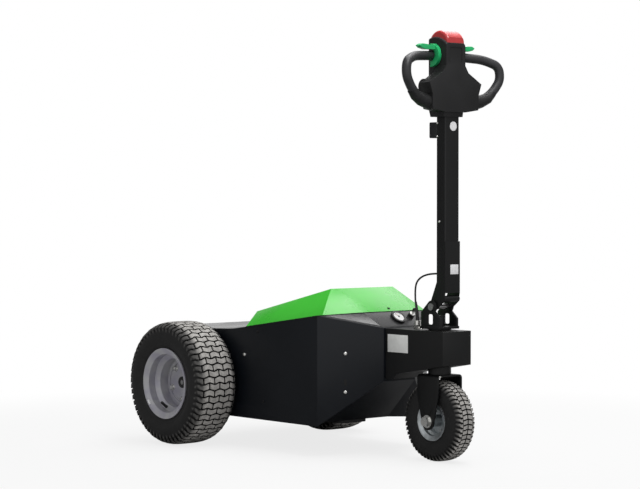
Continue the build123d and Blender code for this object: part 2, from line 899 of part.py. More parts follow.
box_foot = tube_top - 86.0
box_height = 49.0
box_depth = 34.0
box_half_width = tube_half_width - 3.0
box_corner = 4.0
with BuildPart() as junction_box:
    with BuildSketch(plan.offset(box_foot)):
        with Locations((tube_rear - box_depth / 2, 0)):
            Rectangle(box_depth, 2 * box_half_width)
    extrude(amount=box_height)
    fillet(junction_box.edges().filter_by(Axis.Y), radius=box_corner)
junction_box.part.label = "junction_box"
export_step(junction_box.part, "parts/junction_box.step")

# ---------------------------------------------------------------- tiller head
def arm_form(hand_sign, grow):
    """Arm of round sections that shrink from the wing to the lower end of a grip."""
    centres = [Vector(x(s), hand_sign * y, z) for s, y, z, _ in arm_stations]
    runs = [(b - a).normalized() for a, b in zip(centres, centres[1:])]
    headings = [runs[0]] + [before + after for before, after in zip(runs, runs[1:])] + [runs[-1]]
    centres[-1] += runs[-1] * grow
    with BuildPart() as arm:
        for centre, heading, (*_, radius) in zip(centres, headings, arm_stations):
            with BuildSketch(Plane(origin=centre, x_dir=(1, 0, 0), z_dir=heading)):
                Circle(radius + grow)
        loft(ruled=True)
    return arm.part


def head_form(grow):
    """Upright block on its neck, with the wings, pods and arms that carry the grips' lower ends."""
    with BuildPart() as form:
        with BuildSketch(side):
            with BuildLine():
                front = block_front + grow
                rear = block_rear - grow
                Polyline(
                    (rear, block_top_rear),
                    (rear, chin_rear_height),
                    (neck_rear, neck_height),
                    (neck_front, neck_height),
                    (front, chin_front_height),
                    (front, block_top_front),
                )
                crown = ((front + rear) / 2, block_crown)
                ThreePointArc((front, block_top_front), crown, (rear, block_top_rear))
            make_face()
        extrude(amount=block_half_width + grow, both=True)
        fillet(form.edges().filter_by(GeomType.CIRCLE), radius=block_corner)
        with BuildSketch(across(block_front + grow)):
            with BuildLine():
                low, high = wing_edge_heights
                half = [
                    bowl_start,
                    bowl_side,
                    (wing_edge + grow, low),
                    (wing_edge + grow, high),
                    (wing_tip[0] + grow, wing_tip[1]),
                    wing_shoulder,
                    (block_half_width - grow, wing_root_height + block_corner),
                ]
                Polyline(*half, *[(-y, z) for y, z in reversed(half)], close=True)
            make_face()
        extrude(amount=-wing_depth)
        for hand_sign in (-1, 1):
            add(arm_form(hand_sign, grow))
            pod_middle = (x(pod_station), hand_sign * pod_half_span / 2, pod_height)
            with Locations(Plane(origin=pod_middle, z_dir=(0, 1, 0))):
                Cylinder(pod_radius, pod_half_span)
    return form.part


with BuildPart() as tiller_head:
    add(head_form(0))
    with BuildSketch(across(block_front)):
        low, high = panel_heights
        with Locations((0, (low + high) / 2)):
            RectangleRounded(2 * panel_half_width, high - low, block_corner)
    extrude(amount=-panel_depth, mode=Mode.SUBTRACT)
    with BuildSketch(plan.offset(tube_foot)):
        with Locations((tube_middle, 0)):
            RectangleRounded(tube_depth + 2 * fit_gap, 2 * (tube_half_width + fit_gap), tube_corner)
    extrude(amount=tube_top + fit_gap - tube_foot, mode=Mode.SUBTRACT)
tiller_head.part.label = "tiller_head"
export_step(tiller_head.part, "parts/tiller_head.step")

with BuildPart() as reverse_cap:
    with BuildSketch(side):
        with BuildLine():
            ThreePointArc(cap_front, cap_crown, cap_rear)
            Line(cap_rear, (cap_rear[0], block_top_rear - cap_skirt))
            Line((cap_rear[0], block_top_rear - cap_skirt), (cap_front[0], block_top_front - cap_skirt))
            Line((cap_front[0], block_top_front - cap_skirt), cap_front)
        make_face()
    extrude(amount=cap_half_width, both=True)
    fillet(reverse_cap.edges().filter_by(GeomType.CIRCLE), radius=cap_edge)
    add(head_form(fit_gap), mode=Mode.SUBTRACT)
reverse_cap.part.label = "reverse_cap"
export_step(reverse_cap.part, "parts/reverse_cap.step")


def smooth_route(corners):
    """Straight runs joined by the largest tangent arcs, as a FilletPolyline's radii."""
    runs = [b - a for a, b in zip(corners, corners[1:])]
    radii = []
    for before, after in zip(runs, runs[1:]):
        half_turn = math.radians(before.get_angle(after) / 2)
        radii.append(0.45 * min(before.length, after.length) / math.tan(half_turn))
    return radii


# corners of a grip's centre line, as (station, distance from the middle plane, height)
grip_route = (
    (block_rear + 18.0, block_half_width - 8.0, grip_root_height),
    (block_rear + 46.0, 148.0, grip_root_height - 7.0),
    (block_rear + 68.0, 198.0, grip_root_height - 27.0),
    (block_rear + 71.0, 202.0, grip_root_height - 70.0),
    (block_rear + 65.0, 172.0, neck_height + 78.0),
    arm_stations[1][:3],
)
for hand, sign in (("right", -1), ("left", 1)):
    with BuildPart() as grip:
        with BuildLine():
            corners = [Vector(x(s), sign * y, z) for s, y, z in grip_route]
            route = FilletPolyline(*corners, radius=smooth_route(corners))
        with BuildSketch(Plane(origin=route @ 0, z_dir=route % 0)):
            Circle(grip_radius)
        sweep()
        add(head_form(fit_gap), mode=Mode.SUBTRACT)
    grip.part.label = f"grip_{hand}"
    export_step(grip.part, f"parts/grip_{hand}.step")

# thumb paddles: a half ring round the grip's root with a blade above the grip
paddle_inner = grip_radius + paddle_inner_gap
ring_face = block_half_width + fit_gap
for hand, sign in (("right", -1), ("left", 1)):
    with BuildPart() as paddle:
        with BuildSketch(side_at(sign * ring_face)):
            with Locations((paddle_station, grip_root_height)):
                Circle(paddle_outer)
                Circle(paddle_inner, mode=Mode.SUBTRACT)
            with Locations((paddle_station - paddle_outer, grip_root_height)):
                Rectangle(2 * paddle_outer - 4, 2 * paddle_outer + 2, mode=Mode.SUBTRACT)
        extrude(amount=-sign * paddle_thickness)
        with BuildSketch(across(paddle_station + 1)):
            with BuildLine():
                # distance from the ring's face and height above the grip's middle
                blade = [(4, 17), (50, 16), (68, 20), (77, 27), (66, 33), (46, 32), (20, 29), (4, 34)]
                Polyline(*[(sign * (ring_face + y), grip_root_height + z) for y, z in blade], close=True)
            make_face()
        extrude(amount=blade_width)
    paddle.part.label = f"paddle_{hand}"
    export_step(paddle.part, f"parts/paddle_{hand}.step")

# ---------------------------------------------------------------- gauge, key switch and cable gland
dash_slope = facet(dash_corner, nose_corner, mirrored([dash_corner])[0])


def on_dash(station, y):
    """Plane on the sloping dash with its origin above a station and Y."""
    fall = (dash_top[1] - beam_top) / (nose_station - dash_top[0])
    height = dash_top[1] - fall * (station - dash_top[0])
    return Plane(origin=(x(station), y, height), x_dir=(0, 1, 0), z_dir=dash_slope.z_dir)


for name, place, radius, rise in (
    ("battery_gauge", gauge_place, gauge_radius, gauge_rise),
    ("key_switch", key_place, key_radius, key_rise),
):
    with BuildPart() as dash_fitting:
        with BuildSketch(on_dash(*place)):
            Circle(radius)
        extrude(amount=rise)
    dash_fitting.part.label = name
    export_step(dash_fitting.part, f"parts/{name}.step")

with BuildPart() as cable_gland:
    with BuildSketch(plan.offset(beam_top)):
        with Locations((gland_station, 0)):
            RegularPolygon(radius=gland_hex_radius, side_count=6)
    extrude(amount=gland_hex_height)
    with BuildSketch(plan.offset(beam_top + gland_hex_height)):
        with Locations((gland_station, 0)):
            Circle(gland_nut_radius)
    extrude(amount=gland_nut_height)
cable_gland.part.label = "cable_gland"
export_step(cable_gland.part, "parts/cable_gland.step")

# ---------------------------------------------------------------- tow jaw
jaw_pin_station = jaw_pin_margin - jaw_reach
jaw_root = tub_rear - jaw_back_plate + cut_margin
with BuildPart() as tow_jaw:
    with BuildSketch(across(tub_rear, jaw_height)):
        RectangleRounded(jaw_back_width, jaw_back_height, 8)
        with GridLocations(jaw_back_width - 2 * jaw_bolt_margin, jaw_back_height - 2 * jaw_bolt_margin, 2, 2):
            Circle(jaw_bolt_radius, mode=Mode.SUBTRACT)
    extrude(amount=-jaw_back_plate)
    for level in (jaw_height + jaw_gap / 2, jaw_height - jaw_gap / 2 - jaw_plate):
        with BuildSketch(plan.offset(level)):
            with Locations(((jaw_root - jaw_reach) / 2, 0)):
                Rectangle(jaw_root + jaw_reach, 2 * jaw_half_width)
            with Locations((jaw_pin_station, 0)):
                Circle(jaw_pin_radius, mode=Mode.SUBTRACT)
        extrude(amount=jaw_plate)
tow_jaw.part.label = "tow_jaw"
export_step(tow_jaw.part, "parts/tow_jaw.step")

# ---------------------------------------------------------------- control cable
# Corners of the cable's route in the middle plane, as (station, height), from the gland to the tiller.
cable_foot = beam_top + gland_hex_height + gland_nut_height + fit_gap + 0.3
cable_joint = (gland_station - 11.0, cable_foot + 84.4)
cable_lower_route = (
    (gland_station, cable_foot),
    (gland_station - 3.0, cable_foot + 28.4),
    (gland_station - 11.0, cable_foot + 56.4),
    cable_joint,
)
cable_upper_route = (
    cable_joint,
    (cable_joint[0], cable_joint[1] + 23.0),
    (cable_joint[0] + 13.0, cable_joint[1] + 44.0),
    (cable_joint[0] + 40.0, cable_joint[1] + 58.0),
    (cable_joint[0] + 80.0, cable_joint[1] + 65.0),
    (tube_rear - fit_gap, cable_joint[1] + 66.0),
)
for name, places in (("cable_lower", cable_lower_route), ("cable_upper", cable_upper_route)):
    with BuildPart() as cable:
        with BuildLine():
            corners = [Vector(x(s), 0, z) for s, z in places]
            radii = smooth_route(corners)
            route = FilletPolyline(*corners, radius=radii)
        with BuildSketch(Plane(origin=route @ 0, z_dir=route % 0)):
            Circle(cable_radius)
        sweep()
    print(name, "length", round(route.length, 1), "bend radii", [round(r, 1) for r in radii])
    cable.part.label = name
    export_step(cable.part, f"parts/{name}.step")
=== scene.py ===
"""Walk-behind electric tow tug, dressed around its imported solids. Metres, +X to the tiller end, +Z up."""
import logging
import math
from dataclasses import dataclass, field
from enum import Enum
from typing import Iterable

import bmesh
import bpy
from mathutils import Matrix, Vector


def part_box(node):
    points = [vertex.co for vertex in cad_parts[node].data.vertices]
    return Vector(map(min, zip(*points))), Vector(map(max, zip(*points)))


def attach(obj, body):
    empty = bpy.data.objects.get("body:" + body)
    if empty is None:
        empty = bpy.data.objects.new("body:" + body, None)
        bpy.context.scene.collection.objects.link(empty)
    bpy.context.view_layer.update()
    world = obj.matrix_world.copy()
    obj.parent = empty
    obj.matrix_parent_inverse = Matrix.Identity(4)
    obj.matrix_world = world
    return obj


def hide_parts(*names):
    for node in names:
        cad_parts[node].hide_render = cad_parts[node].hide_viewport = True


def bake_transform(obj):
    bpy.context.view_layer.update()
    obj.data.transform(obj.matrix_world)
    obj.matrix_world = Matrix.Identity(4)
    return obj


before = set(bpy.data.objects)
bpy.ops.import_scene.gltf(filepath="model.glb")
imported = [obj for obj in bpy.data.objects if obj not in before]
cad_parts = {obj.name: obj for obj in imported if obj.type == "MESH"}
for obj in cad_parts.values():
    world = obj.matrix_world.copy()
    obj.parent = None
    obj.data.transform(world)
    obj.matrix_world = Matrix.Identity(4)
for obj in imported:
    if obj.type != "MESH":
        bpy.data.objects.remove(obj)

LOG = logging.getLogger("tug")
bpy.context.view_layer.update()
FULL_TURN = 2 * math.pi
WELD_DISTANCE = 1e-6
SMOOTH_ANGLE = math.radians(28)
# smallest turn between two faces, in radians, whose edge counts as a pin's rim
RIM_ANGLE = 0.9
# radius of the tiny ring that closes a turned body on its axis
POLE_RADIUS = 1e-5
# numbers of the Mix node's sockets when it mixes colours
MIX_SHARE, MIX_FIRST, MIX_SECOND, MIX_RESULT = 0, 6, 7, 2

Colour = tuple[float, float, float]
Pair = tuple[float, float]
Triple = tuple[float, float, float]
Seat = tuple[Vector, Vector]


def middle_of(node: str) -> Vector:
    """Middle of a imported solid's box.

    Args:
        node: name of the solid.

    Returns:
        The middle point in metres.
    """
    low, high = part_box(node)
    return (low + high) / 2


REAR_AXLE = middle_of("rear_axle")


def at(station: float, y: float, z: float) -> Vector:
    """Point from its distance ahead of the rear axle.

    Args:
        station: distance ahead of the rear axle.
        y: distance to the vehicle's left.
        z: height above the ground.

    Returns:
        The point in the vehicle's frame.
    """
    return Vector((REAR_AXLE.x + station, y, z))


def spoke(angle: float) -> Vector:
    """Direction across a wheel at an angle from the front, upwards."""
    return Vector((math.cos(angle), 0, math.sin(angle)))


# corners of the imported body's left side that screws, seams and dials line up with
SIDE_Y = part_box("body_shell")[1].y
HOOD_FOOT = at(0.228, SIDE_Y, 0.398)
SHOULDER = at(0.589, SIDE_Y, 0.449)
DASH_CORNER = at(0.657, 0.103, 0.457)
NOSE_CORNER = at(0.713, 0.068, 0.409)


# ------------------------------------------------------------------ shader building
class Signal:
    """Output socket of a shader node that arithmetic can be written on."""

    def __init__(self, graph: "Graph", socket: bpy.types.NodeSocket) -> None:
        """Keeps the socket with the graph that it belongs to."""
        self.graph = graph
        self.socket = socket

    def _math(self, operation: str, *values: "Signal | float") -> "Signal":
        """One Math node on the given operands."""
        return self.graph.add("ShaderNodeMath", {"operation": operation}, dict(enumerate(values)))

    def __add__(self, other: "Signal | float") -> "Signal":
        """Sum."""
        return self._math("ADD", self, other)

    __radd__ = __add__

    def __sub__(self, other: "Signal | float") -> "Signal":
        """Difference."""
        return self._math("SUBTRACT", self, other)

    def __rsub__(self, other: float) -> "Signal":
        """Difference from a number."""
        return self._math("SUBTRACT", other, self)

    def __mul__(self, other: "Signal | float") -> "Signal":
        """Product."""
        return self._math("MULTIPLY", self, other)

    __rmul__ = __mul__

    def larger(self, other: "Signal | float") -> "Signal":
        """The larger of the two."""
        return self._math("MAXIMUM", self, other)

    def ramp(self, low: float, high: float, to_low: float = 0.0, to_high: float = 1.0) -> "Signal":
        """Smooth step between two input values.

        Args:
            low: input where the step starts.
            high: input where the step ends.
            to_low: value before the step.
            to_high: value after the step.

        Returns:
            The stepped signal.
        """
        settings = {"interpolation_type": "SMOOTHSTEP"}
        sockets = {"Value": self, "From Min": low, "From Max": high, "To Min": to_low, "To Max": to_high}
        return self.graph.add("ShaderNodeMapRange", settings, sockets)


class Graph:
    """Node tree of one material or of the world."""

    def __init__(self, owner: bpy.types.Material | bpy.types.World) -> None:
        """Empties the owner's tree."""
        owner.use_nodes = True
        self.tree = owner.node_tree
        self.tree.nodes.clear()

    def add(self, kind: str, settings: dict | None = None, sockets: dict | None = None,
            out: int | str = 0) -> Signal:
        """Adds one node.

        Args:
            kind: the node's type.
            settings: properties that are set before the sockets.
            sockets: values or signals by input name or number.
            out: the output that is returned.

        Returns:
            The chosen output, empty for a node that ends the tree.
        """
        node = self.tree.nodes.new(kind)
        for name, value in (settings or {}).items():
            setattr(node, name, value)
        for name, value in (sockets or {}).items():
            if isinstance(value, Signal):
                self.tree.links.new(value.socket, node.inputs[name])
            else:
                node.inputs[name].default_value = value
        return Signal(self, node.outputs[out] if node.outputs else None)

    def output(self, signal: Signal, name: str) -> Signal:
        """Another output of the node that a signal comes from."""
        return Signal(self, signal.socket.node.outputs[name])

    def place(self) -> Signal:
        """Point of the surface in the vehicle's frame."""
        return self.add("ShaderNodeTexCoord", out="Object")

    def parts(self, vector: Signal) -> tuple[Signal, Signal, Signal]:
        """The three components of a vector."""
        x = self.add("ShaderNodeSeparateXYZ", sockets={"Vector": vector})
        return x, self.output(x, "Y"), self.output(x, "Z")

    def noise(self, scale: float, detail: float = 3.0, stretch: Triple = (1, 1, 1)) -> Signal:
        """Cloudy pattern from 0 to 1.

        Args:
            scale: clouds per metre.
            detail: number of finer layers.
            stretch: scale factors along X, Y and Z.

        Returns:
            The pattern.
        """
        point = self.place()
        if stretch != (1, 1, 1):
            point = self.add("ShaderNodeMapping", sockets={"Vector": point, "Scale": stretch})
        return self.add("ShaderNodeTexNoise", sockets={"Vector": point, "Scale": scale, "Detail": detail})

    def mix(self, share: "Signal | float", first: "Signal | Colour",
            second: "Signal | Colour") -> Signal:
        """Colour between two colours.

        Args:
            share: 0 for the first colour, 1 for the second.
            first: RGB colour or signal.
            second: RGB colour or signal.

        Returns:
            The mixed colour.
        """
        colours = [c if isinstance(c, Signal) else (*c, 1.0) for c in (first, second)]
        sockets = {MIX_SHARE: share, MIX_FIRST: colours[0], MIX_SECOND: colours[1]}
        return self.add("ShaderNodeMix", {"data_type": "RGBA"}, sockets, out=MIX_RESULT)

    def cells(self, scale: float) -> Signal:
        """Pattern of small cells, this many per metre."""
        return self.add("ShaderNodeTexVoronoi", sockets={"Vector": self.place(), "Scale": scale})

    def along(self, direction: Signal, way: Triple) -> Signal:
        """How far a direction points one way."""
        settings = {"operation": "DOT_PRODUCT"}
        return self.add("ShaderNodeVectorMath", settings, {0: direction, 1: way}, out="Value")

    def bump(self, height: Signal, distance: float) -> Signal:
        """Surface normal tilted by a height pattern.

        Args:
            height: the pattern, 0 to 1.
            distance: its depth in metres.

        Returns:
            The normal.
        """
        sockets = {"Strength": 1.0, "Distance": distance, "Height": height}
        return self.add("ShaderNodeBump", sockets=sockets)

    def finish(self, sockets: dict) -> None:
        """Ends the tree in one Principled surface with these sockets."""
        surface = self.add("ShaderNodeBsdfPrincipled", sockets=sockets)
        self.add("ShaderNodeOutputMaterial", sockets={"Surface": surface})


def toned(colour: Colour, times: float) -> Colour:
    """The colour made darker or paler by a factor."""
    return tuple(min(1.0, times * part) for part in colour)


@dataclass(frozen=True)
class Finish:
    """A surface finish. Each kind writes its own shader, and its pattern is in patches per metre."""

    name: str
    colour: Colour
    roughness: float = 0.5
    pattern: float = 60.0

    def shade(self, graph: Graph) -> None:
        """Plain coloured surface with a little mottling."""
        colour = graph.mix(graph.noise(self.pattern), toned(self.colour, 0.75), self.colour)
        graph.finish({"Base Color": colour, "Roughness": self.roughness})

    def material(self) -> bpy.types.Material:
        """The finish's material, made when it is first asked for.

        Returns:
            The material.
        """
        known = bpy.data.materials.get(self.name)
        if known is None:
            known = bpy.data.materials.new(self.name)
            self.shade(Graph(known))
        return known


@dataclass(frozen=True)
class PowderCoat(Finish):
    """Baked powder paint: fine orange peel, cloudy sheen, dust that settles low down."""

    pattern: float = 7.0
    specular: float = 0.35
    sheen_spread: float = 0.05
    peel_grain: float = 650.0
    peel_depth: float = 0.00006
    dust: Colour = (0.09, 0.088, 0.085)
    dust_foot: float = 0.02
    dust_top: float = 0.22
    dust_share: float = 0.12

    def shade(self, graph: Graph) -> None:
        """Writes the paint's shader.

        Args:
            graph: the material's empty tree.
        """
        clouds = graph.noise(self.pattern, 4)
        peel = graph.noise(self.peel_grain, 2)
        height = graph.parts(graph.place())[2]
        low_down = height.ramp(self.dust_top, self.dust_foot) * clouds.ramp(0.35, 0.75) * self.dust_share
        shade = graph.mix(clouds.ramp(0.3, 0.7), toned(self.colour, 0.88), self.colour)
        sheen = (self.roughness - self.sheen_spread, self.roughness + self.sheen_spread)
        graph.finish({
            "Base Color": graph.mix(low_down, shade, self.dust),
            "Roughness": clouds.ramp(0.25, 0.75, *sheen) + low_down,
            "Specular IOR Level": self.specular,
            "Normal": graph.bump(peel, self.peel_depth),
        })


@dataclass(frozen=True)
class Moulding(Finish):
    """Moulded plastic with a fine leather-like grain."""

    pattern: float = 18.0
    specular: float = 0.4
    sheen_spread: float = 0.06
    grain_cells: float = 900.0
    grain_depth: float = 0.00008
    coat: float = 0.0

    def shade(self, graph: Graph) -> None:
        """Writes the plastic's shader.

        Args:
            graph: the material's empty tree.
        """
        clouds = graph.noise(self.pattern, 3)
        grain = graph.cells(self.grain_cells)
        sheen = (self.roughness - self.sheen_spread, self.roughness + self.sheen_spread)
        graph.finish({
            "Base Color": graph.mix(clouds.ramp(0.3, 0.7), self.colour, toned(self.colour, 1.18)),
            "Roughness": clouds.ramp(0.25, 0.75, *sheen),
            "Specular IOR Level": self.specular,
            "Coat Weight": self.coat,
            "Normal": graph.bump(grain, self.grain_depth),
        })


@dataclass(frozen=True)
class Plating(Finish):
    """Bare or plated metal with faint streaks and spangle."""

    pattern: float = 140.0
    streak: Triple = (1, 8, 1)
    streak_depth: float = 0.00004
    spangle: float = 35.0
    contrast: float = 0.35

    def shade(self, graph: Graph) -> None:
        """Writes the metal's shader.

        Args:
            graph: the material's empty tree.
        """
        flakes = graph.cells(self.spangle)
        streaks = graph.noise(self.pattern, 3, self.streak)
        share = (flakes * 0.5 + streaks * 0.5).ramp(0.2, 0.7)
        graph.finish({
            "Base Color": graph.mix(share, toned(self.colour, 1 - self.contrast), self.colour),
            "Metallic": 1.0,
            "Roughness": streaks.ramp(0.3, 0.7, self.roughness - 0.06, self.roughness + 0.08),
            "Normal": graph.bump(streaks, self.streak_depth),
        })


@dataclass(frozen=True)
class Lacquer(Finish):
    """Silver lacquer on pressed steel: part metallic, with fine flecks and clouds of a violet tone."""

    pattern: float = 22.0
    metallic: float = 0.45
    cloud_tone: Colour = (0.80, 0.78, 0.88)
    flecks: float = 900.0
    fleck_depth: float = 0.00003

    def shade(self, graph: Graph) -> None:
        """Writes the lacquer's shader.

        Args:
            graph: the material's empty tree.
        """
        clouds = graph.noise(self.pattern, 5)
        flecks = graph.noise(self.flecks, 1)
        violet = tuple(part * tone for part, tone in zip(self.colour, self.cloud_tone))
        graph.finish({
            "Base Color": graph.mix(clouds.ramp(0.35, 0.65), violet, self.colour),
            "Metallic": self.metallic,
            "Roughness": clouds.ramp(0.3, 0.7, self.roughness - 0.05, self.roughness + 0.08),
            "Normal": graph.bump(flecks, self.fleck_depth),
        })


@dataclass(frozen=True)
class Rubber(Finish):
    """Tyre rubber, paler and dusty where the "worn" attribute of the blocks' outer faces says so, and darker
    at the shoulders where that attribute holds painted shade.
    """

    pattern: float = 30.0
    worn: Colour = (0.44, 0.425, 0.405)
    worn_roughness: float = 0.85
    speckles: float = 260.0
    dust_patches: float = 55.0
    skin_grain: float = 1100.0
    skin_depth: float = 0.00012
    specular: float = 0.3

    def shade(self, graph: Graph) -> None:
        """Writes the rubber's shader.

        Args:
            graph: the material's empty tree.
        """
        # the worn attribute is real wear and dust on the block tops, and painted shade where it falls off at
        # the shoulders
        wear_and_shade = graph.add("ShaderNodeAttribute", {"attribute_name": "worn"}, out="Fac")
        speckle = graph.noise(self.speckles, 4)
        clouds = graph.noise(self.pattern, 4)
        skin = graph.noise(self.skin_grain, 2)
        patches = graph.noise(self.dust_patches, 3)
        patchy = speckle.ramp(0.3, 0.7, 0.0, 0.45) + patches.ramp(0.35, 0.65, 0.0, 0.55)
        dusty = graph.mix(patchy, toned(self.worn, 0.62), self.worn)
        black = graph.mix(clouds.ramp(0.3, 0.7), toned(self.colour, 0.8), self.colour)
        share = wear_and_shade * speckle.ramp(0.18, 0.45, 0.65, 1.0)
        graph.finish({
            "Base Color": graph.mix(share, black, dusty),
            "Roughness": share.ramp(0.0, 1.0, self.roughness, self.worn_roughness),
            "Specular IOR Level": self.specular,
            "Normal": graph.bump(skin, self.skin_depth),
        })


BODY_PAINT = PowderCoat("body_paint", (0.0038, 0.0052, 0.0080), 0.38, specular=0.25, dust_share=0.02)
DECK_PAINT = PowderCoat("deck_paint", (0.024, 0.024, 0.025), 0.28, specular=0.5, dust_share=0.0)
HOOD_PAINT = PowderCoat("hood_paint", (0.046, 0.53, 0.030), 0.30, specular=0.5, dust_share=0.0)
STEEL_PAINT = PowderCoat("steel_paint", (0.0048, 0.0051, 0.0054), 0.42, specular=0.3, dust_share=0.04)
SHAFT_STEEL = Plating("shaft_steel", (0.50, 0.50, 0.50), 0.34, spangle=90.0, contrast=0.2)
BOLT_STEEL = Plating("bolt_steel", (0.72, 0.72, 0.70), 0.28, spangle=200.0, contrast=0.15)
HUB_PAINT = PowderCoat("hub_paint", (0.02, 0.02, 0.02), 0.5)
RIM_PAINT = Lacquer("rim_lacquer", (0.47, 0.47, 0.485), 0.50)
RIM_ZINC = Plating("zinc_plate", (0.60, 0.64, 0.66), 0.46, spangle=60.0, contrast=0.3)
TYRE_RUBBER = Rubber("tread_compound", (0.0132, 0.0132, 0.0134), 0.62)
CAST_BLOCK = Finish("cast_block", (0.05, 0.05, 0.05), 0.7)
HEAD_PLASTIC = Moulding("head_moulding", (0.0085, 0.0085, 0.009), 0.5, specular=0.32)
BOX_PLASTIC = Moulding("box_plastic", (0.008, 0.0085, 0.010), 0.4)
GRIP_RUBBER = Moulding("grip_sheath", (0.017, 0.017, 0.019), 0.48)
CAP_PLASTIC = Moulding("cap_plastic", (0.40, 0.024, 0.026), 0.34, specular=0.5, grain_depth=0.00002, coat=0.3)
PADDLE_PLASTIC = Moulding("paddle_plastic", (0.012, 0.36, 0.115), 0.36, specular=0.5, grain_depth=0.00002)
DIAL_WHITE = Finish("dial_white", (0.80, 0.80, 0.80), 0.35)
GLAND_NICKEL = Plating("gland_nickel", (0.66, 0.65, 0.62), 0.24, spangle=200.0, contrast=0.1)
DIAL_INK = Finish("dial_ink", (0.02, 0.02, 0.02), 0.5)
DIAL_RED = Finish("dial_red", (0.5, 0.03, 0.02), 0.45)
SWITCH_PLASTIC = Moulding("switch_plastic", (0.012, 0.012, 0.012), 0.35)
CABLE_SHEATH = Moulding("cable_sheath", (0.016, 0.016, 0.017), 0.45)
PLATE_SILVER = Finish("plate_silver", (0.78, 0.79, 0.77), 0.42)
# white of the labels, also laid on the balance weights as a painted highlight
LABEL_AND_GLINT_WHITE = Finish("label_white", (0.90, 0.90, 0.91), 0.42)
SHADOW_BLACK = Finish("shadow_black", (0.003, 0.003, 0.003), 0.8)

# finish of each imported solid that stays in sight
NODE_FINISHES: dict[Finish, tuple[str, ...]] = {
    BODY_PAINT: ("body_shell",),
    DECK_PAINT: ("deck",),
    HOOD_PAINT: ("hood",),
    STEEL_PAINT: (
        "belly_pan", "front_beam", "fork", "steering_head", "tiller_sleeve", "tiller_tube", "tow_jaw",
        "swivel_bearing", "swivel_stem", "axle_housing_right", "axle_housing_left",
    ),
    SHAFT_STEEL: ("rear_axle", "pivot_pin"),
    BOLT_STEEL: ("front_axle",),
    HUB_PAINT: ("hub_right", "hub_left"),
    RIM_PAINT: ("rim_right", "rim_left"),
    RIM_ZINC: ("rim_front",),
    CAST_BLOCK: ("drive_unit", "battery_block"),
    HEAD_PLASTIC: ("tiller_head",),
    BOX_PLASTIC: ("junction_box",),
    GRIP_RUBBER: ("grip_right", "grip_left"),
    CAP_PLASTIC: ("reverse_cap",),
    PADDLE_PLASTIC: ("paddle_right", "paddle_left"),
    SWITCH_PLASTIC: ("battery_gauge", "key_switch"),
    GLAND_NICKEL: ("cable_gland",),
}

# width of the rounded edges that folded sheet and moulded pieces get
SOFT_EDGES: dict[float, tuple[str, ...]] = {
    0.0018: ("body_shell", "deck", "front_beam"),
    0.0025: ("hood",),
    0.0012: ("fork", "steering_head", "tiller_sleeve", "tow_jaw"),
    0.0045: ("tiller_head",),
    0.0030: ("reverse_cap",),
    0.0016: ("paddle_right", "paddle_left", "junction_box"),
}


# ------------------------------------------------------------------ mesh building
def smooth_group() -> bpy.types.NodeTree:
    """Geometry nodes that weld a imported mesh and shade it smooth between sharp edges.

    Returns:
        The node group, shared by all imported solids.
    """
    known = bpy.data.node_groups.get("weld_and_smooth")
    if known:
        return known
    group = bpy.data.node_groups.new("weld_and_smooth", "GeometryNodeTree")
    group.interface.new_socket("Geometry", in_out="INPUT", socket_type="NodeSocketGeometry")
    group.interface.new_socket("Geometry", in_out="OUTPUT", socket_type="NodeSocketGeometry")
    nodes, link = group.nodes, group.links.new
    start, end = nodes.new("NodeGroupInput"), nodes.new("NodeGroupOutput")
    merge = nodes.new("GeometryNodeMergeByDistance")
    merge.inputs["Distance"].default_value = WELD_DISTANCE
    smooth = nodes.new("GeometryNodeSetShadeSmooth")
    angle = nodes.new("GeometryNodeInputMeshEdgeAngle")
    compare = nodes.new("FunctionNodeCompare")
    compare.operation = "GREATER_THAN"
    compare.inputs[1].default_value = SMOOTH_ANGLE
    sharpen = nodes.new("GeometryNodeSetShadeSmooth")
    sharpen.domain = "EDGE"
    sharpen.inputs["Shade Smooth"].default_value = False
    link(start.outputs[0], merge.inputs["Geometry"])
    link(merge.outputs[0], smooth.inputs["Geometry"])
    link(smooth.outputs[0], sharpen.inputs["Geometry"])
    link(angle.outputs["Unsigned Angle"], compare.inputs[0])
    link(compare.outputs[0], sharpen.inputs["Selection"])
    link(sharpen.outputs[0], end.inputs[0])
    return group


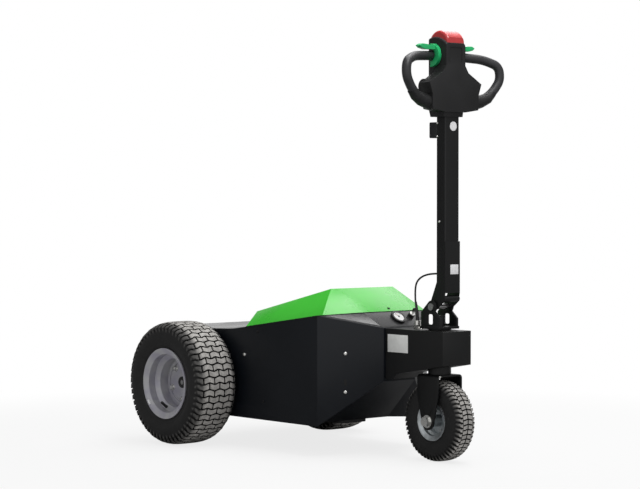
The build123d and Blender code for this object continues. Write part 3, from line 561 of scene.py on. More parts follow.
class Shape:
    """A mesh under construction, made of closed solids in the vehicle's frame."""

    def __init__(self) -> None:
        """Starts empty."""
        self.mesh = bmesh.new()

    def cylinder(self, start: Vector, axis: Vector, radius: float, length: float, sides: int = 32,
                 end_radius: float | None = None, edge: float = 0.0) -> "Shape":
        """Adds a round, tapered or hexagonal pin.

        Args:
            start: middle of its first end.
            axis: direction that it grows in.
            radius: radius at its first end.
            length: how far it grows.
            sides: corners of its section.
            end_radius: radius at its other end, if it tapers.
            edge: width of its rounded rims.

        Returns:
            This shape.
        """
        direction = Vector(axis).normalized()
        turn = direction.to_track_quat("Z", "Y").to_matrix().to_4x4()
        matrix = Matrix.Translation(start + direction * length / 2) @ turn
        far = radius if end_radius is None else end_radius
        made = bmesh.ops.create_cone(self.mesh, cap_ends=True, segments=sides, radius1=radius, radius2=far,
                                     depth=length, matrix=matrix)
        if edge:
            points = set(made["verts"])
            rims = {e for v in points for e in v.link_edges if len(e.link_faces) == 2
                    and e.link_faces[0].normal.angle(e.link_faces[1].normal, 0) > RIM_ANGLE}
            self._bevel(rims, edge)
        return self

    def _bevel(self, edges: Iterable, width: float) -> None:
        """Rounds some edges."""
        bmesh.ops.bevel(self.mesh, geom=list(edges), offset=width, segments=2, profile=0.5, affect="EDGES",
                        material=-1)

    def block(self, middle: Vector, size: Triple, turn: Matrix | None = None,
              edge: float = 0.0) -> "Shape":
        """Adds a box.

        Args:
            middle: its middle.
            size: its three lengths.
            turn: rotation about its middle.
            edge: width of its rounded edges.

        Returns:
            This shape.
        """
        matrix = Matrix.Translation(middle) @ (turn or Matrix.Identity(4)) @ Matrix.Diagonal((*size, 1))
        made = bmesh.ops.create_cube(self.mesh, size=1, matrix=matrix)
        if edge:
            self._bevel({e for v in made["verts"] for e in v.link_edges}, edge)
        return self

    def lathe(self, outline: Iterable[Pair], centre: Vector, axis: Vector, steps: int = 64,
              closed: bool = True) -> "Shape":
        """Adds a turned body.

        Args:
            outline: points as (distance along the axis, radius).
            centre: point on the axis that distances start from.
            axis: direction of the axis.
            steps: flats around the turn.
            closed: whether the outline joins up with its start.

        Returns:
            This shape.
        """
        along = Vector(axis).normalized()
        across = along.orthogonal().normalized()
        points = [self.mesh.verts.new(centre + along * a + across * r) for a, r in outline]
        pairs = list(zip(points, points[1:])) + ([(points[-1], points[0])] if closed else [])
        edges = [self.mesh.edges.new(pair) for pair in pairs]
        bmesh.ops.spin(self.mesh, geom=points + edges, cent=centre, axis=along, angle=FULL_TURN, steps=steps,
                       use_merge=True)
        return self

    def piece(self, name: str, body: str, finish: Finish,
              smooth: float = 35.0) -> bpy.types.Object:
        """Makes the finished shape a piece of the vehicle, with its faces outwards.

        Args:
            name: name of the piece.
            body: body that it rides on, empty for a piece on no body.
            finish: its surface.
            smooth: largest angle in degrees that is shaded round.

        Returns:
            The new object.
        """
        bmesh.ops.recalc_face_normals(self.mesh, faces=self.mesh.faces[:])
        for face in self.mesh.faces:
            face.smooth = True
        for edge in self.mesh.edges:
            edge.smooth = len(edge.link_faces) == 2 and edge.calc_face_angle(0) < math.radians(smooth)
        data = bpy.data.meshes.new(name)
        self.mesh.to_mesh(data)
        self.mesh.free()
        made = bpy.data.objects.new(name, data)
        bpy.context.scene.collection.objects.link(made)
        data.materials.append(finish.material())
        if body:
            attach(made, body)
        LOG.info("%s: %d faces on %s", name, len(data.polygons), body or "two bodies")
        return made


class Side(Enum):
    """Side of the vehicle that a paired piece is on."""

    RIGHT = -1
    LEFT = 1

    @property
    def word(self) -> str:
        """The side's name in piece names."""
        return self.name.lower()


# ------------------------------------------------------------------ tyres
# shares of the half width at which the tyre's crown is drawn
CROWN = (0.0, 0.25, 0.45, 0.6, 0.72, 0.82, 0.89, 0.94, 0.975, 0.993, 1.0)
# shares of (rise above the flange, half width) down the sidewall, with its moulded ring near the foot
SIDEWALL = (
    (0.36, 0.997), (0.30, 0.985), (0.22, 0.962), (0.17, 0.945),
    (0.155, 0.948), (0.125, 0.936), (0.11, 0.922), (0.06, 0.895),
)


@dataclass(frozen=True)
class Tread:
    """Pattern of a tyre: two kinds of row, with each block's sides measured from the middle plane."""

    rows: int
    full_row: tuple[Pair, ...]
    half_row: tuple[Pair, ...]
    block_length: float
    groove: float
    wave: float
    wave_pitch: float
    # where the worn paleness of the lugs starts to fall, over what share and by how much: partly less wear at
    # the shoulders, partly painted shade where they turn away from the light
    wear_end: float = 0.62
    wear_fade: float = 0.22
    wear_drop: float = 0.8
    foot_spread: float = 1.05
    foot_depth: float = 1.15
    block_edge: float = 0.0009
    cell: float = 0.0045
    fewest_cells: int = 4


REAR_TREAD = Tread(
    rows=60,
    full_row=((-0.0800, -0.0650), (-0.0580, -0.0240), (-0.0170, 0.0170), (0.0240, 0.0580), (0.0650, 0.0800)),
    half_row=((-0.0800, -0.0445), (-0.0375, -0.0035), (0.0035, 0.0375), (0.0445, 0.0800)),
    block_length=0.0140, groove=0.0090, wave=0.0026, wave_pitch=0.041,
)
FRONT_TREAD = Tread(
    rows=102,
    full_row=((-0.0392, -0.0220), (0.0220, 0.0392)),
    half_row=((-0.0180, -0.0030), (0.0030, 0.0180)),
    block_length=0.0092, groove=0.007, wave=0.0016, wave_pitch=0.040, wear_end=0.7,
)


@dataclass
class LuggedTyre:
    """Pneumatic tyre with rows of wavy tread blocks, laid like bricks between shoulder lugs."""

    node: str
    rim: str
    body: str
    tread: Tread
    bead: float
    flare: float
    steps: int = 144
    crown_power: float = 3.7
    belly_share: float = 0.42
    side_share: float = 0.15
    skin_gap: float = 0.0002
    lip_gap: float = 0.0043
    lip_round: Pair = (0.0006, 0.0012)
    bead_gap: float = 0.0004
    bead_width: float = 0.009
    wall: float = 0.012
    liner_share: float = 0.9
    middle: Vector = field(init=False)
    radius: float = field(init=False)
    half_width: float = field(init=False)
    flange: float = field(init=False)
    lip: float = field(init=False)

    def __post_init__(self) -> None:
        """Takes the tyre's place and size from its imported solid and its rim."""
        low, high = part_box(self.node)
        self.middle = (low + high) / 2
        self.radius = (high.z - low.z) / 2 - self.skin_gap
        self.half_width = (high.y - low.y) / 2 - self.skin_gap
        low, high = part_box(self.rim)
        self.flange = (high.z - low.z) / 2
        self.lip = (high.y - low.y) / 2 - self.lip_gap

    def skin(self, y: float, sunk: float = 0.0) -> float:
        """Radius of the blocks' outer faces, or of the carcass under them.

        Args:
            y: distance from the tyre's middle plane.
            sunk: how far the surface lies under the blocks' outer faces.

        Returns:
            The radius there.
        """
        belly = self.flange + self.belly_share * (self.radius - self.flange)
        share = min(1.0, abs(y) / (self.half_width - self.side_share * sunk))
        return belly + (self.radius - sunk - belly) * (1 - share**self.crown_power) ** (1 / self.crown_power)

    def carcass_outline(self) -> list[Pair]:
        """Section of the tyre under its blocks, from the crown to one bead.

        Returns:
            Points as (distance from the middle plane, radius).
        """
        groove = self.tread.groove
        side = self.half_width - self.side_share * groove
        rise = self.radius - self.flange
        heel = self.lip - self.flare
        foot = self.bead + self.bead_gap
        crown = [(share * side, self.skin(share * side, groove)) for share in CROWN]
        sidewall = [(width * side, self.flange + height * rise) for height, width in SIDEWALL]
        bead = [(self.lip + self.lip_round[0], self.flange + self.lip_round[1]), (self.lip, self.flange),
                (heel, foot), (heel - self.bead_width, foot), (heel - self.bead_width, self.flange)]
        return crown + sidewall + bead

    def carcass(self, shape: Shape) -> None:
        """Adds the turned body of the tyre, closed inside by a plain liner.

        Args:
            shape: the mesh that it joins.
        """
        right = self.carcass_outline()
        left = [(-y, r) for y, r in reversed(right[1:])]
        liner = self.radius - self.tread.groove - self.wall
        edge = right[-1][0]
        inside = [(edge, liner * self.liner_share), (0.0, liner), (-edge, liner * self.liner_share)]
        shape.lathe(left + right + inside, self.middle, Vector((0, 1, 0)), self.steps)

    def block(self, shape: Shape, first: float, last: float) -> None:
        """Adds one tread block at the top of the tyre.

        Args:
            shape: the mesh that it joins.
            first: its side nearer the right, from the middle plane.
            last: its side nearer the left.
        """
        mesh, tread = shape.mesh, self.tread
        cells = max(tread.fewest_cells, round((last - first) / tread.cell))
        made = bmesh.ops.create_grid(mesh, x_segments=cells, y_segments=2, size=0.5)
        top = {f for v in made["verts"] for f in v.link_faces}
        raised = bmesh.ops.extrude_face_region(mesh, geom=list(top), use_keep_orig=True)["geom"]
        lifted = {item for item in raised if isinstance(item, bmesh.types.BMVert)}
        centre = (first + last) / 2
        for point in lifted | set(made["verts"]):
            up = point in lifted
            spread = 1.0 if up else tread.foot_spread
            y = centre + point.co.x * (last - first) * spread
            wave = tread.wave * math.cos(FULL_TURN * y / tread.wave_pitch)
            along = point.co.y * tread.block_length * spread - wave
            radius = self.skin(y, 0.0 if up else tread.foot_depth * tread.groove)
            angle = along / self.radius
            point.co = self.middle + Vector((radius * math.sin(angle), y, radius * math.cos(angle)))
        crest = {f for v in lifted for f in v.link_faces if all(corner in lifted for corner in f.verts)}
        rim = {e for f in crest for e in f.edges if sum(g in crest for g in e.link_faces) == 1}
        bmesh.ops.bevel(mesh, geom=list(rim), offset=tread.block_edge, segments=1, profile=0.5,
                        affect="EDGES", material=-1)

    def blocks(self, shape: Shape) -> None:
        """Adds all rows of blocks: two kinds of row, laid alternately.

        Args:
            shape: the mesh that they join.
        """
        rows = self.tread.rows
        turn = FULL_TURN / rows
        for spans in (self.tread.full_row, self.tread.half_row):
            row = Shape()
            for first, last in spans:
                self.block(row, first, last)
            if spans is self.tread.half_row:
                bmesh.ops.rotate(row.mesh, cent=self.middle, matrix=Matrix.Rotation(turn, 3, "Y"),
                                 verts=row.mesh.verts[:])
            everything = row.mesh.verts[:] + row.mesh.edges[:] + row.mesh.faces[:]
            bmesh.ops.spin(row.mesh, geom=everything, cent=self.middle, axis=(0, 1, 0),
                           angle=FULL_TURN - 2 * turn, steps=rows // 2 - 1, use_duplicate=True)
            data = bpy.data.meshes.new("row")
            row.mesh.to_mesh(data)
            row.mesh.free()
            shape.mesh.from_mesh(data)
            bpy.data.meshes.remove(data)

    def build(self) -> bpy.types.Object:
        """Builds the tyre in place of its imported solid.

        Returns:
            The tyre.
        """
        shape = Shape()
        self.carcass(shape)
        self.blocks(shape)
        made = shape.piece(f"{self.node}_lugged", self.body, TYRE_RUBBER, smooth=50)
        self.mark_wear(made)
        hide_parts(self.node)
        return made

    def mark_wear(self, made: bpy.types.Object) -> None:
        """Marks the outer faces of the blocks as worn, and those at the shoulders less: partly less wear,
        partly painted shade.

        Args:
            made: the finished tyre.
        """
        tread = self.tread
        worn = made.data.attributes.new("worn", "FLOAT", "POINT")
        end = tread.full_row[-1][1]
        # a point this close to the skin and to the middle plane is on a block's outer face
        face_depth, reach = tread.block_edge * 0.6, end * 1.001
        values = []
        for vertex in made.data.vertices:
            offset = vertex.co - self.middle
            depth = self.skin(offset.y) - math.hypot(offset.x, offset.z)
            # darker towards the shoulders: partly less wear, partly painted shade of lugs turned away from
            # the light
            past = (abs(offset.y) / end - tread.wear_end) / tread.wear_fade
            share = 1.0 - tread.wear_drop * min(1.0, max(0.0, past))
            values.append(share if depth < face_depth and abs(offset.y) < reach else 0.0)
        worn.data.foreach_set("value", values)


# ------------------------------------------------------------------ wheels
@dataclass
class RearWheelTrim:
    """Lug bolts, hub ring, valve and balance weight of one driven wheel; the weight is plain white as a
    painted highlight.
    """

    side: Side
    bolt_count: int = 5
    bolt_circle: float = 0.05715
    first_bolt: float = math.radians(57)
    bolt_radius: float = 0.0085
    bolt_height: float = 0.007
    washer_share: float = 1.35
    washer: float = 0.0015
    stud_foot: float = 0.008
    stud_radius: float = 0.0045
    stud_length: float = 0.004
    spigot_rise: float = 0.002
    ring_outer: float = 0.0186
    ring_inner: float = 0.0085
    ring_inside: tuple[Pair, ...] = ((-0.0005, 0.0), (0.0016, 0.0), (0.0022, 0.0008))
    ring_outside: tuple[Pair, ...] = ((0.0022, -0.0012), (0.0012, 0.0), (-0.0005, 0.0))
    valve_radius: float = 0.0052
    valve_length: float = 0.036
    valve_angle: float = math.radians(245)
    valve_circle: float = 0.0965
    valve_out: float = 0.031
    valve_lean: Pair = (0.80, 0.60)
    collar: float = 0.003
    valve_foot: float = 0.010
    foot_sunk: float = 0.001
    cap_length: float = 0.010
    cap_back: float = 0.006
    stem_short: float = 0.014
    weight_angle: float = math.radians(218)
    weight_size: Triple = (0.007, 0.008, 0.018)
    weight_below: float = 0.0075
    weight_sunk: float = 0.0035

    @property
    def body(self) -> str:
        """Body of the wheel."""
        return f"{self.side.word}_wheel"

    @property
    def outward(self) -> Vector:
        """Direction that the wheel's disc faces."""
        return Vector((0, self.side.value, 0))

    def outer_end(self, node: str) -> Vector:
        """Point on the wheel's axis level with a solid's outer side.

        Args:
            node: name of the solid, without its side.

        Returns:
            The point.
        """
        low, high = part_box(f"{node}_{self.side.word}")
        return Vector((REAR_AXLE.x, high.y if self.side is Side.LEFT else low.y, REAR_AXLE.z))

    def build(self) -> None:
        """Builds the pieces and seats them on the disc and the rim."""
        end = self.outer_end("hub")
        face = end - self.outward * self.spigot_rise
        self.bolts(face)
        self.ring(end)
        self.valve(face)
        self.weight()

    def bolts(self, face: Vector) -> None:
        """Adds the lug bolts with their washers and stud ends.

        Args:
            face: middle of the disc's outer face.
        """
        out = self.outward
        bolts = Shape()
        for number in range(self.bolt_count):
            middle = face + spoke(self.first_bolt + FULL_TURN * number / self.bolt_count) * self.bolt_circle
            bolts.cylinder(middle, out, self.bolt_radius * self.washer_share, self.washer, 24, edge=0.0004)
            bolts.cylinder(middle + out * self.washer, out, self.bolt_radius, self.bolt_height, 6,
                           edge=0.0008)
            bolts.cylinder(middle + out * self.stud_foot, out, self.stud_radius, self.stud_length, 16,
                           edge=0.0006)
        bolts.piece(f"lug_bolts_{self.side.word}", self.body, BOLT_STEEL)

    def ring(self, end: Vector) -> None:
        """Adds the ring on the hub's outer end.

        Args:
            end: middle of that end.
        """
        outline = [(along, self.ring_inner + out) for along, out in self.ring_inside]
        outline += [(along, self.ring_outer + out) for along, out in self.ring_outside]
        ring = Shape()
        ring.lathe(outline, end, self.outward, 48)
        ring.piece(f"hub_ring_{self.side.word}", self.body, SWITCH_PLASTIC)

    def valve(self, face: Vector) -> None:
        """Adds the rubber valve that leans out of the rim's barrel, towards the axle.

        Args:
            face: middle of the disc's outer face.
        """
        radius, out = self.valve_radius, spoke(self.valve_angle)
        foot = face + out * self.valve_circle + self.outward * self.valve_out
        lean = (self.outward * self.valve_lean[0] - out * self.valve_lean[1]).normalized()
        stem = Shape()
        stem.cylinder(foot, -out, radius * 1.6, self.collar, 24, end_radius=radius * 1.3, edge=0.0006)
        stem.cylinder(foot - out * self.foot_sunk, lean, radius * 1.2, self.valve_foot, 24, end_radius=radius,
                      edge=0.001)
        stem.cylinder(foot + lean * self.valve_foot, lean, radius, self.valve_length - self.stem_short, 24,
                      end_radius=radius * 0.85)
        cap = foot + lean * (self.valve_length - self.cap_back)
        stem.cylinder(cap, lean, radius * 0.95, self.cap_length, 18, edge=0.0008)
        stem.piece(f"valve_{self.side.word}", self.body, SWITCH_PLASTIC)

    def weight(self) -> None:
        """Adds the balance weight clipped to the flange, plain white as a painted highlight of its glint."""
        low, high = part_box(f"rim_{self.side.word}")
        reach = (high.z - low.z) / 2 - self.weight_below
        seat = self.outer_end("rim") + spoke(self.weight_angle) * reach - self.outward * self.weight_sunk
        clip = Shape()
        clip.block(seat, self.weight_size, Matrix.Rotation(-self.weight_angle, 4, "Y"), edge=0.0015)
        # plain white: a painted highlight, the glint of the weight
        clip.piece(f"balance_weight_{self.side.word}", self.body, LABEL_AND_GLINT_WHITE)


@dataclass
class FrontWheelTrim:
    """Bolts that hold the front rim to its hub, from both sides of the disc."""

    bolt_circle: float = 0.034
    bolt_count: int = 4
    first_bolt: float = math.radians(20)
    bolt_radius: float = 0.0062
    bolt_height: float = 0.005
    disc_half: float = 0.0022

    def build(self) -> None:
        """Builds the pieces."""
        middle = middle_of("rim_front")
        bolts = Shape()
        for number in range(self.bolt_count):
            out = spoke(self.first_bolt + FULL_TURN * number / self.bolt_count)
            for sign in (-1, 1):
                seat = middle + out * self.bolt_circle + Vector((0, sign * self.disc_half, 0))
                bolts.cylinder(seat, Vector((0, sign, 0)), self.bolt_radius, self.bolt_height, 6, edge=0.0006)
        bolts.piece("rim_bolts_front", "front_wheel", BOLT_STEEL)


# ------------------------------------------------------------------ chassis dressing
# dome of a screw's head with its socket, as shares of its radius along and out from its axis
DOME = (
    (0.0, 0.0), (0.0, 1.0), (0.18, 1.0), (0.42, 0.86), (0.56, 0.62), (0.60, 0.42), (0.22, 0.36), (0.22, 0.0),
)


@dataclass
class Fixings:
    """Screws, seam and slots of the chassis, steering and tiller; the slots are flat black sheets of painted
    shade.

    A place on the body's side is (station, height), and one on the slanted wall or the beam is (station, y).
    """

    panel_head: float = 0.0062
    small_head: float = 0.0042
    beam_head: float = 0.0065
    lid_head: float = 0.0036
    crown_head: float = 0.0044
    hood_head: float = 0.0046
    side_bright: Pair = (0.221, 0.306)
    side_dark: tuple[Pair, ...] = ((0.291, 0.385), (0.319, 0.158))
    wall_heights: Pair = (0.329, 0.207)
    wall_place: Pair = (0.6415, 0.1665)
    slot_height: float = 0.238
    slot_size: Triple = (0.0012, 0.0075, 0.020)
    beam_screw: Pair = (0.822, -0.007)
    tube_inset: float = 0.014
    tube_height: float = 0.748
    lid_inset: float = 0.0045
    lid_margins: Pair = (0.005, 0.003)
    crown_inset: Pair = (0.009, 0.0045)
    hood_screw: Triple = (0.6424, 0.017, 0.4657)
    hood_way: Triple = (0.513, 0, 0.858)
    seam_width: float = 0.0026

    def domes(self, name: str, body: str, radius: float, seats: Iterable[Seat],
              finish: Finish = BOLT_STEEL) -> None:
        """Adds dome-head socket screws.

        Args:
            name: name of the piece.
            body: body that it rides on.
            radius: radius of the head.
            seats: (point on the surface, direction outwards) of each.
            finish: its surface.
        """
        outline = [(along * radius, max(out * radius, POLE_RADIUS)) for along, out in DOME]
        shape = Shape()
        for seat, way in seats:
            shape.lathe(outline, seat, way, 24, closed=False)
        shape.piece(name, body, finish)

    def build(self) -> None:
        """Adds every fixing."""
        self.panels()
        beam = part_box("front_beam")[1]
        on_beam = [(at(*self.beam_screw, beam.z), Vector((0, 0, 1)))]
        self.domes("beam_screw", "chassis", self.beam_head, on_beam)
        self.tiller()
        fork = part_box("fork")
        crown = Vector((fork[1].x, fork[0].y + self.crown_inset[0], fork[1].z - self.crown_inset[1]))
        self.domes("crown_screw", "steering", self.crown_head, [(crown, Vector((1, 0, 0)))])
        on_hood = [(at(*self.hood_screw), Vector(self.hood_way))]
        self.domes("hood_screw", "chassis", self.hood_head, on_hood, STEEL_PAINT)
        self.seam()
        self.slots()

    def panels(self) -> None:
        """Adds the bright and the black screws of the body's sides and of the nose's slanted walls."""
        left = Vector((0, 1, 0))
        station, height = self.side_bright
        bright = [(at(station, SIDE_Y, height), left)]
        bright += [self.on_wall(level) for level in self.wall_heights]
        dark = [(at(station, SIDE_Y, height), left) for station, height in self.side_dark]
        self.domes("panel_screws_bright", "chassis", self.panel_head, self.both(bright))
        self.domes("panel_screws_black", "chassis", self.small_head, self.both(dark), STEEL_PAINT)

    def tiller(self) -> None:
        """Adds the screws of the tiller's tube and of the junction box's lids."""
        low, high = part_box("tiller_tube")
        box_low, box_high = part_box("junction_box")
        right, left = Vector((0, -1, 0)), Vector((0, 1, 0))
        station = low.x + self.tube_inset
        on_tube = [(Vector((station, low.y, self.tube_height)), right),
                   (Vector((station, high.y, self.tube_height)), left)]
        self.domes("tiller_screws", "tiller", self.small_head, on_tube)
        heights = (box_low.z + self.lid_margins[0], box_high.z - self.lid_margins[1])
        lid = [(Vector((low.x + self.lid_inset, low.y, height)), right) for height in heights]
        self.domes("junction_screws", "tiller", self.lid_head, self.both(lid))

    def seam(self) -> None:
        """Adds the dark strip that runs round the hood's foot."""
        dark_strip = Shape()
        half = [HOOD_FOOT, SHOULDER, DASH_CORNER]
        line = half + [Vector((point.x, -point.y, point.z)) for point in reversed(half)]
        for start, end in zip(line, line[1:]):
            along = end - start
            turn = along.to_track_quat("X", "Z").to_matrix().to_4x4()
            dark_strip.block((start + end) / 2, (along.length, self.seam_width, self.seam_width), turn)
        dark_strip.piece("hood_seam", "chassis", SHADOW_BLACK)

    def slots(self) -> None:
        """Adds a flat black sheet over each lower nose screw, as painted shade of the slot there."""
        slot_shades = Shape()
        # painted shade: a black sheet in place of the slot's shaded hollow
        for seat, way in self.both([self.on_wall(self.slot_height)]):
            slot_shades.block(seat, self.slot_size, Matrix.Rotation(math.atan2(way.y, way.x), 4, "Z"))
        slot_shades.piece("nose_slots", "chassis", SHADOW_BLACK)

    @staticmethod
    def both(seats: Iterable[Seat]) -> list[Seat]:
        """Each seat with its mirror image."""
        flip = Vector((1, -1, 1))
        return [pair for seat, out in seats for pair in ((seat, out), (seat * flip, out * flip))]

    def on_wall(self, height: float) -> Seat:
        """Seat on the nose's slanted left wall.

        Args:
            height: its height above the ground.

        Returns:
            The point on the wall and the direction that the wall faces.
        """
        run = NOSE_CORNER - SHOULDER
        out = Vector((-run.y, run.x, 0)).normalized()
        near = at(*self.wall_place, height)
        flat = Vector((near.x - SHOULDER.x, near.y - SHOULDER.y, 0))
        return near - out * flat.dot(out), out


@dataclass
class Signs:
    """Blank data plate and labels."""

    thickness: float = 0.0006
    edge: float = 0.0002
    plate_place: Pair = (0.7705, 0.363)
    plate_size: Pair = (0.093, 0.056)
    sleeve_place: Pair = (0.0075, 0.600)
    sleeve_size: Pair = (0.034, 0.030)
    spot_place: Pair = (0.0040, 1.043)
    spot_radius: float = 0.0145

    def build(self) -> None:
        """Adds the plates."""
        station, height = self.plate_place
        length, width = self.plate_size
        plate = Shape()
        middle = at(station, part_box("front_beam")[0].y - self.thickness / 2, height)
        plate.block(middle, (length, self.thickness, width), edge=self.edge)
        plate.piece("data_plate", "chassis", PLATE_SILVER)
        label = Shape()
        front = Vector((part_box("tiller_sleeve")[1].x + self.thickness / 2, *self.sleeve_place))
        label.block(front, (self.thickness, *self.sleeve_size), edge=self.edge)
        label.piece("sleeve_label", "tiller", LABEL_AND_GLINT_WHITE)
        spot = Shape()
        seat = Vector((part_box("tiller_tube")[1].x, *self.spot_place))
        spot.cylinder(seat, Vector((1, 0, 0)), self.spot_radius, self.thickness, 48, edge=self.edge)
        spot.piece("tube_label", "tiller", LABEL_AND_GLINT_WHITE)


@dataclass
class Dashboard:
    """Battery gauge and key switch on the sloping dash. Rises are measured square to the dash."""

    gauge_rise: float = 0.0025
    bezel: float = 0.0076
    bezel_outside: tuple[Pair, ...] = ((0.0, 0.0), (0.0015, 0.0), (0.0026, -0.0012))
    bezel_inside: tuple[Pair, ...] = ((0.0026, 0.0014), (0.001, 0.0), (0.0, 0.0))
    face_thickness: float = 0.0012
    ticks: int = 11
    sweep: float = math.radians(110)
    tick_rise: float = 0.0013
    tick_inset: float = 0.0035
    tick_lengths: Pair = (0.004, 0.0022)
    long_tick_every: int = 5
    tick_section: Pair = (0.0007, 0.0003)
    boss: Pair = (0.003, 0.0014)
    pointer_angle: float = math.radians(38)
    pointer_rise: float = 0.0021
    pointer_out: float = 0.0065
    pointer_size: Triple = (0.015, 0.001, 0.0005)
    lock_rise: float = 0.0045
    nut: tuple[Pair, ...] = (
        (0.0, 0.0065), (0.0, 0.0098), (0.0018, 0.0098), (0.0032, 0.0085), (0.0032, 0.0065),
    )
    barrel: Pair = (0.006, 0.0022)
    blade_rise: float = 0.007
    blade_size: Triple = (0.0018, 0.006, 0.012)
    bow_rise: float = 0.0185
    bow_size: Triple = (0.004, 0.018, 0.015)

    def build(self) -> None:
        """Adds the dial, its scale and pointer, and the key."""
        self.gauge()
        self.key()

    @property
    def out(self) -> Vector:
        """Direction that the dash faces."""
        fall = NOSE_CORNER - DASH_CORNER
        return Vector((-fall.z, 0, fall.x)).normalized()

    def laid(self, angle: float) -> tuple[Vector, Matrix]:
        """How a bar lies on the dash.

        Args:
            angle: angle of its length from straight up the dash.

        Returns:
            The direction of its length and its rotation.
        """
        out = self.out
        up = Vector((-out.z, 0, out.x))
        way = up * math.cos(angle) + out.cross(up) * math.sin(angle)
        return way, Matrix((way, out.cross(way), out)).transposed().to_4x4()

    def gauge(self) -> None:
        """Adds the round instrument."""
        out = self.out
        low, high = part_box("battery_gauge")
        radius = (high.y - low.y) / 2
        face_radius = radius - self.bezel
        top = middle_of("battery_gauge") + out * self.gauge_rise
        outline = [(along, radius + wide) for along, wide in self.bezel_outside]
        outline += [(along, face_radius + wide) for along, wide in self.bezel_inside]
        ring = Shape()
        ring.lathe(outline, top, out, 64)
        ring.piece("gauge_bezel", "chassis", SWITCH_PLASTIC)
        face = Shape()
        face.cylinder(top, out, face_radius, self.face_thickness, 64)
        face.piece("gauge_face", "chassis", DIAL_WHITE)
        self.scale(top, face_radius)
        way, turn = self.laid(self.pointer_angle)
        pointer = Shape()
        pointer.block(top + out * self.pointer_rise + way * self.pointer_out, self.pointer_size, turn)
        pointer.piece("gauge_pointer", "chassis", DIAL_RED)

    def scale(self, top: Vector, face_radius: float) -> None:
        """Adds the ticks and the boss of the pointer.

        Args:
            top: middle of the gauge's front.
            face_radius: radius of the white face.
        """
        out = self.out
        scale = Shape()
        for number in range(self.ticks):
            way, turn = self.laid(-self.sweep / 2 + self.sweep * number / (self.ticks - 1))
            length = self.tick_lengths[0 if number % self.long_tick_every == 0 else 1]
            middle = top + out * self.tick_rise + way * (face_radius - self.tick_inset)
            scale.block(middle, (length, *self.tick_section), turn)
        scale.cylinder(top + out * self.face_thickness, out, *self.boss, 24)
        scale.piece("gauge_scale", "chassis", DIAL_INK)

    def key(self) -> None:
        """Adds the lock's bright nut, its barrel, the key's blade and its black bow."""
        out = self.out
        turn = self.laid(0)[1]
        middle = middle_of("key_switch") + out * self.lock_rise
        lock = Shape()
        lock.lathe(self.nut, middle, out, 40)
        lock.cylinder(middle, out, *self.barrel, 32, edge=0.0005)
        lock.block(middle + out * self.blade_rise, self.blade_size, turn, edge=0.0005)
        lock.piece("key_lock", "chassis", BOLT_STEEL)
        bow = Shape()
        bow.block(middle + out * self.bow_rise, self.bow_size, turn, edge=0.0016)
        bow.piece("key_bow", "chassis", SWITCH_PLASTIC)


# ------------------------------------------------------------------ control cable
@dataclass
class ControlCable:
    """Cable from the gland on the beam to the back of the tiller, in two joined stretches.

    Its routes are lists of (station, height).
    """

    diameter: float = 0.006
    lower: tuple[Pair, ...] = ((0.797, 0.4356), (0.794, 0.464), (0.786, 0.492), (0.786, 0.520))
    upper: tuple[Pair, ...] = (
        (0.786, 0.520), (0.786, 0.543), (0.799, 0.564), (0.826, 0.578), (0.866, 0.585), (0.9117, 0.586),
    )
    boot_route: tuple[Pair, ...] = ((0.797, 0.432), (0.7955, 0.452), (0.792, 0.474), (0.7885, 0.494))
    boot_swell: tuple[float, ...] = (2.0, 1.9, 1.5, 1.15)

    @staticmethod
    def on_route(place: Pair) -> Vector:
        """Point of a route in the vehicle's middle plane."""
        return at(place[0], 0, place[1])

    def spline(self, name: str, route: Iterable[Pair], radius: float,
               swell: Iterable[float] = ()) -> bpy.types.Mesh:
        """Mesh of a smooth line through the route, bare or as a tube.

        Args:
            name: name of the mesh.
            route: the points that the line is drawn along.
            radius: half the cable's diameter, or 0 for its middle line alone.
            swell: how many times thicker it is at each point, if it tapers.

        Returns:
            The mesh.
        """
        curve = bpy.data.curves.new(name, "CURVE")
        curve.dimensions = "3D"
        curve.bevel_depth = radius
        curve.bevel_resolution = 4
        curve.use_fill_caps = True
        line = curve.splines.new("NURBS")
        places = [self.on_route(place) for place in route]
        line.points.add(len(places) - 1)
        for point, place in zip(line.points, places):
            point.co = (*place, 1)
        for point, times in zip(line.points, swell):
            point.radius = times
        line.order_u = 3
        line.use_endpoint_u = True
        line.resolution_u = 12
        holder = bpy.data.objects.new(name, curve)
        bpy.context.scene.collection.objects.link(holder)
        bpy.context.view_layer.update()
        made = bpy.data.meshes.new_from_object(holder)
        bpy.data.objects.remove(holder)
        made.name = name
        return made

    def sheath(self, name: str, route: Iterable[Pair], swell: Iterable[float] = ()) -> bpy.types.Object:
        """Adds a tube along the route.

        Args:
            name: name of the piece.
            route: the points that it is drawn along.
            swell: how many times thicker than the cable it is at each point, if it tapers.

        Returns:
            The piece, on no body.
        """
        shape = Shape()
        shape.mesh.from_mesh(self.spline(name, route, self.diameter / 2, swell))
        bmesh.ops.remove_doubles(shape.mesh, verts=shape.mesh.verts[:], dist=WELD_DISTANCE)
        return shape.piece(name, "", CABLE_SHEATH)

    def stretch(self, name: str, node: str, route: tuple[Pair, ...], bodies: tuple[str, str]) -> None:
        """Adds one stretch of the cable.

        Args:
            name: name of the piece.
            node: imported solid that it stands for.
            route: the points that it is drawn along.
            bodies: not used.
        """
        path = [vertex.co.copy() for vertex in self.spline(f"{name}_line", route, 0).vertices]
        made = self.sheath(name, route)
        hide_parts(node)
        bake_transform(made)

    def boot(self) -> None:
        """Adds the tapered strain relief that the cable leaves its gland through."""
        made = self.sheath("cable_boot", self.boot_route, self.boot_swell)
        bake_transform(made)

    def build(self) -> None:
        """Adds the strain relief and both stretches."""
        self.boot()
        self.stretch("cable_lower_sheath", "cable_lower", self.lower, ("chassis", "steering"))
        self.stretch("cable_upper_sheath", "cable_upper", self.upper, ("steering", "tiller"))


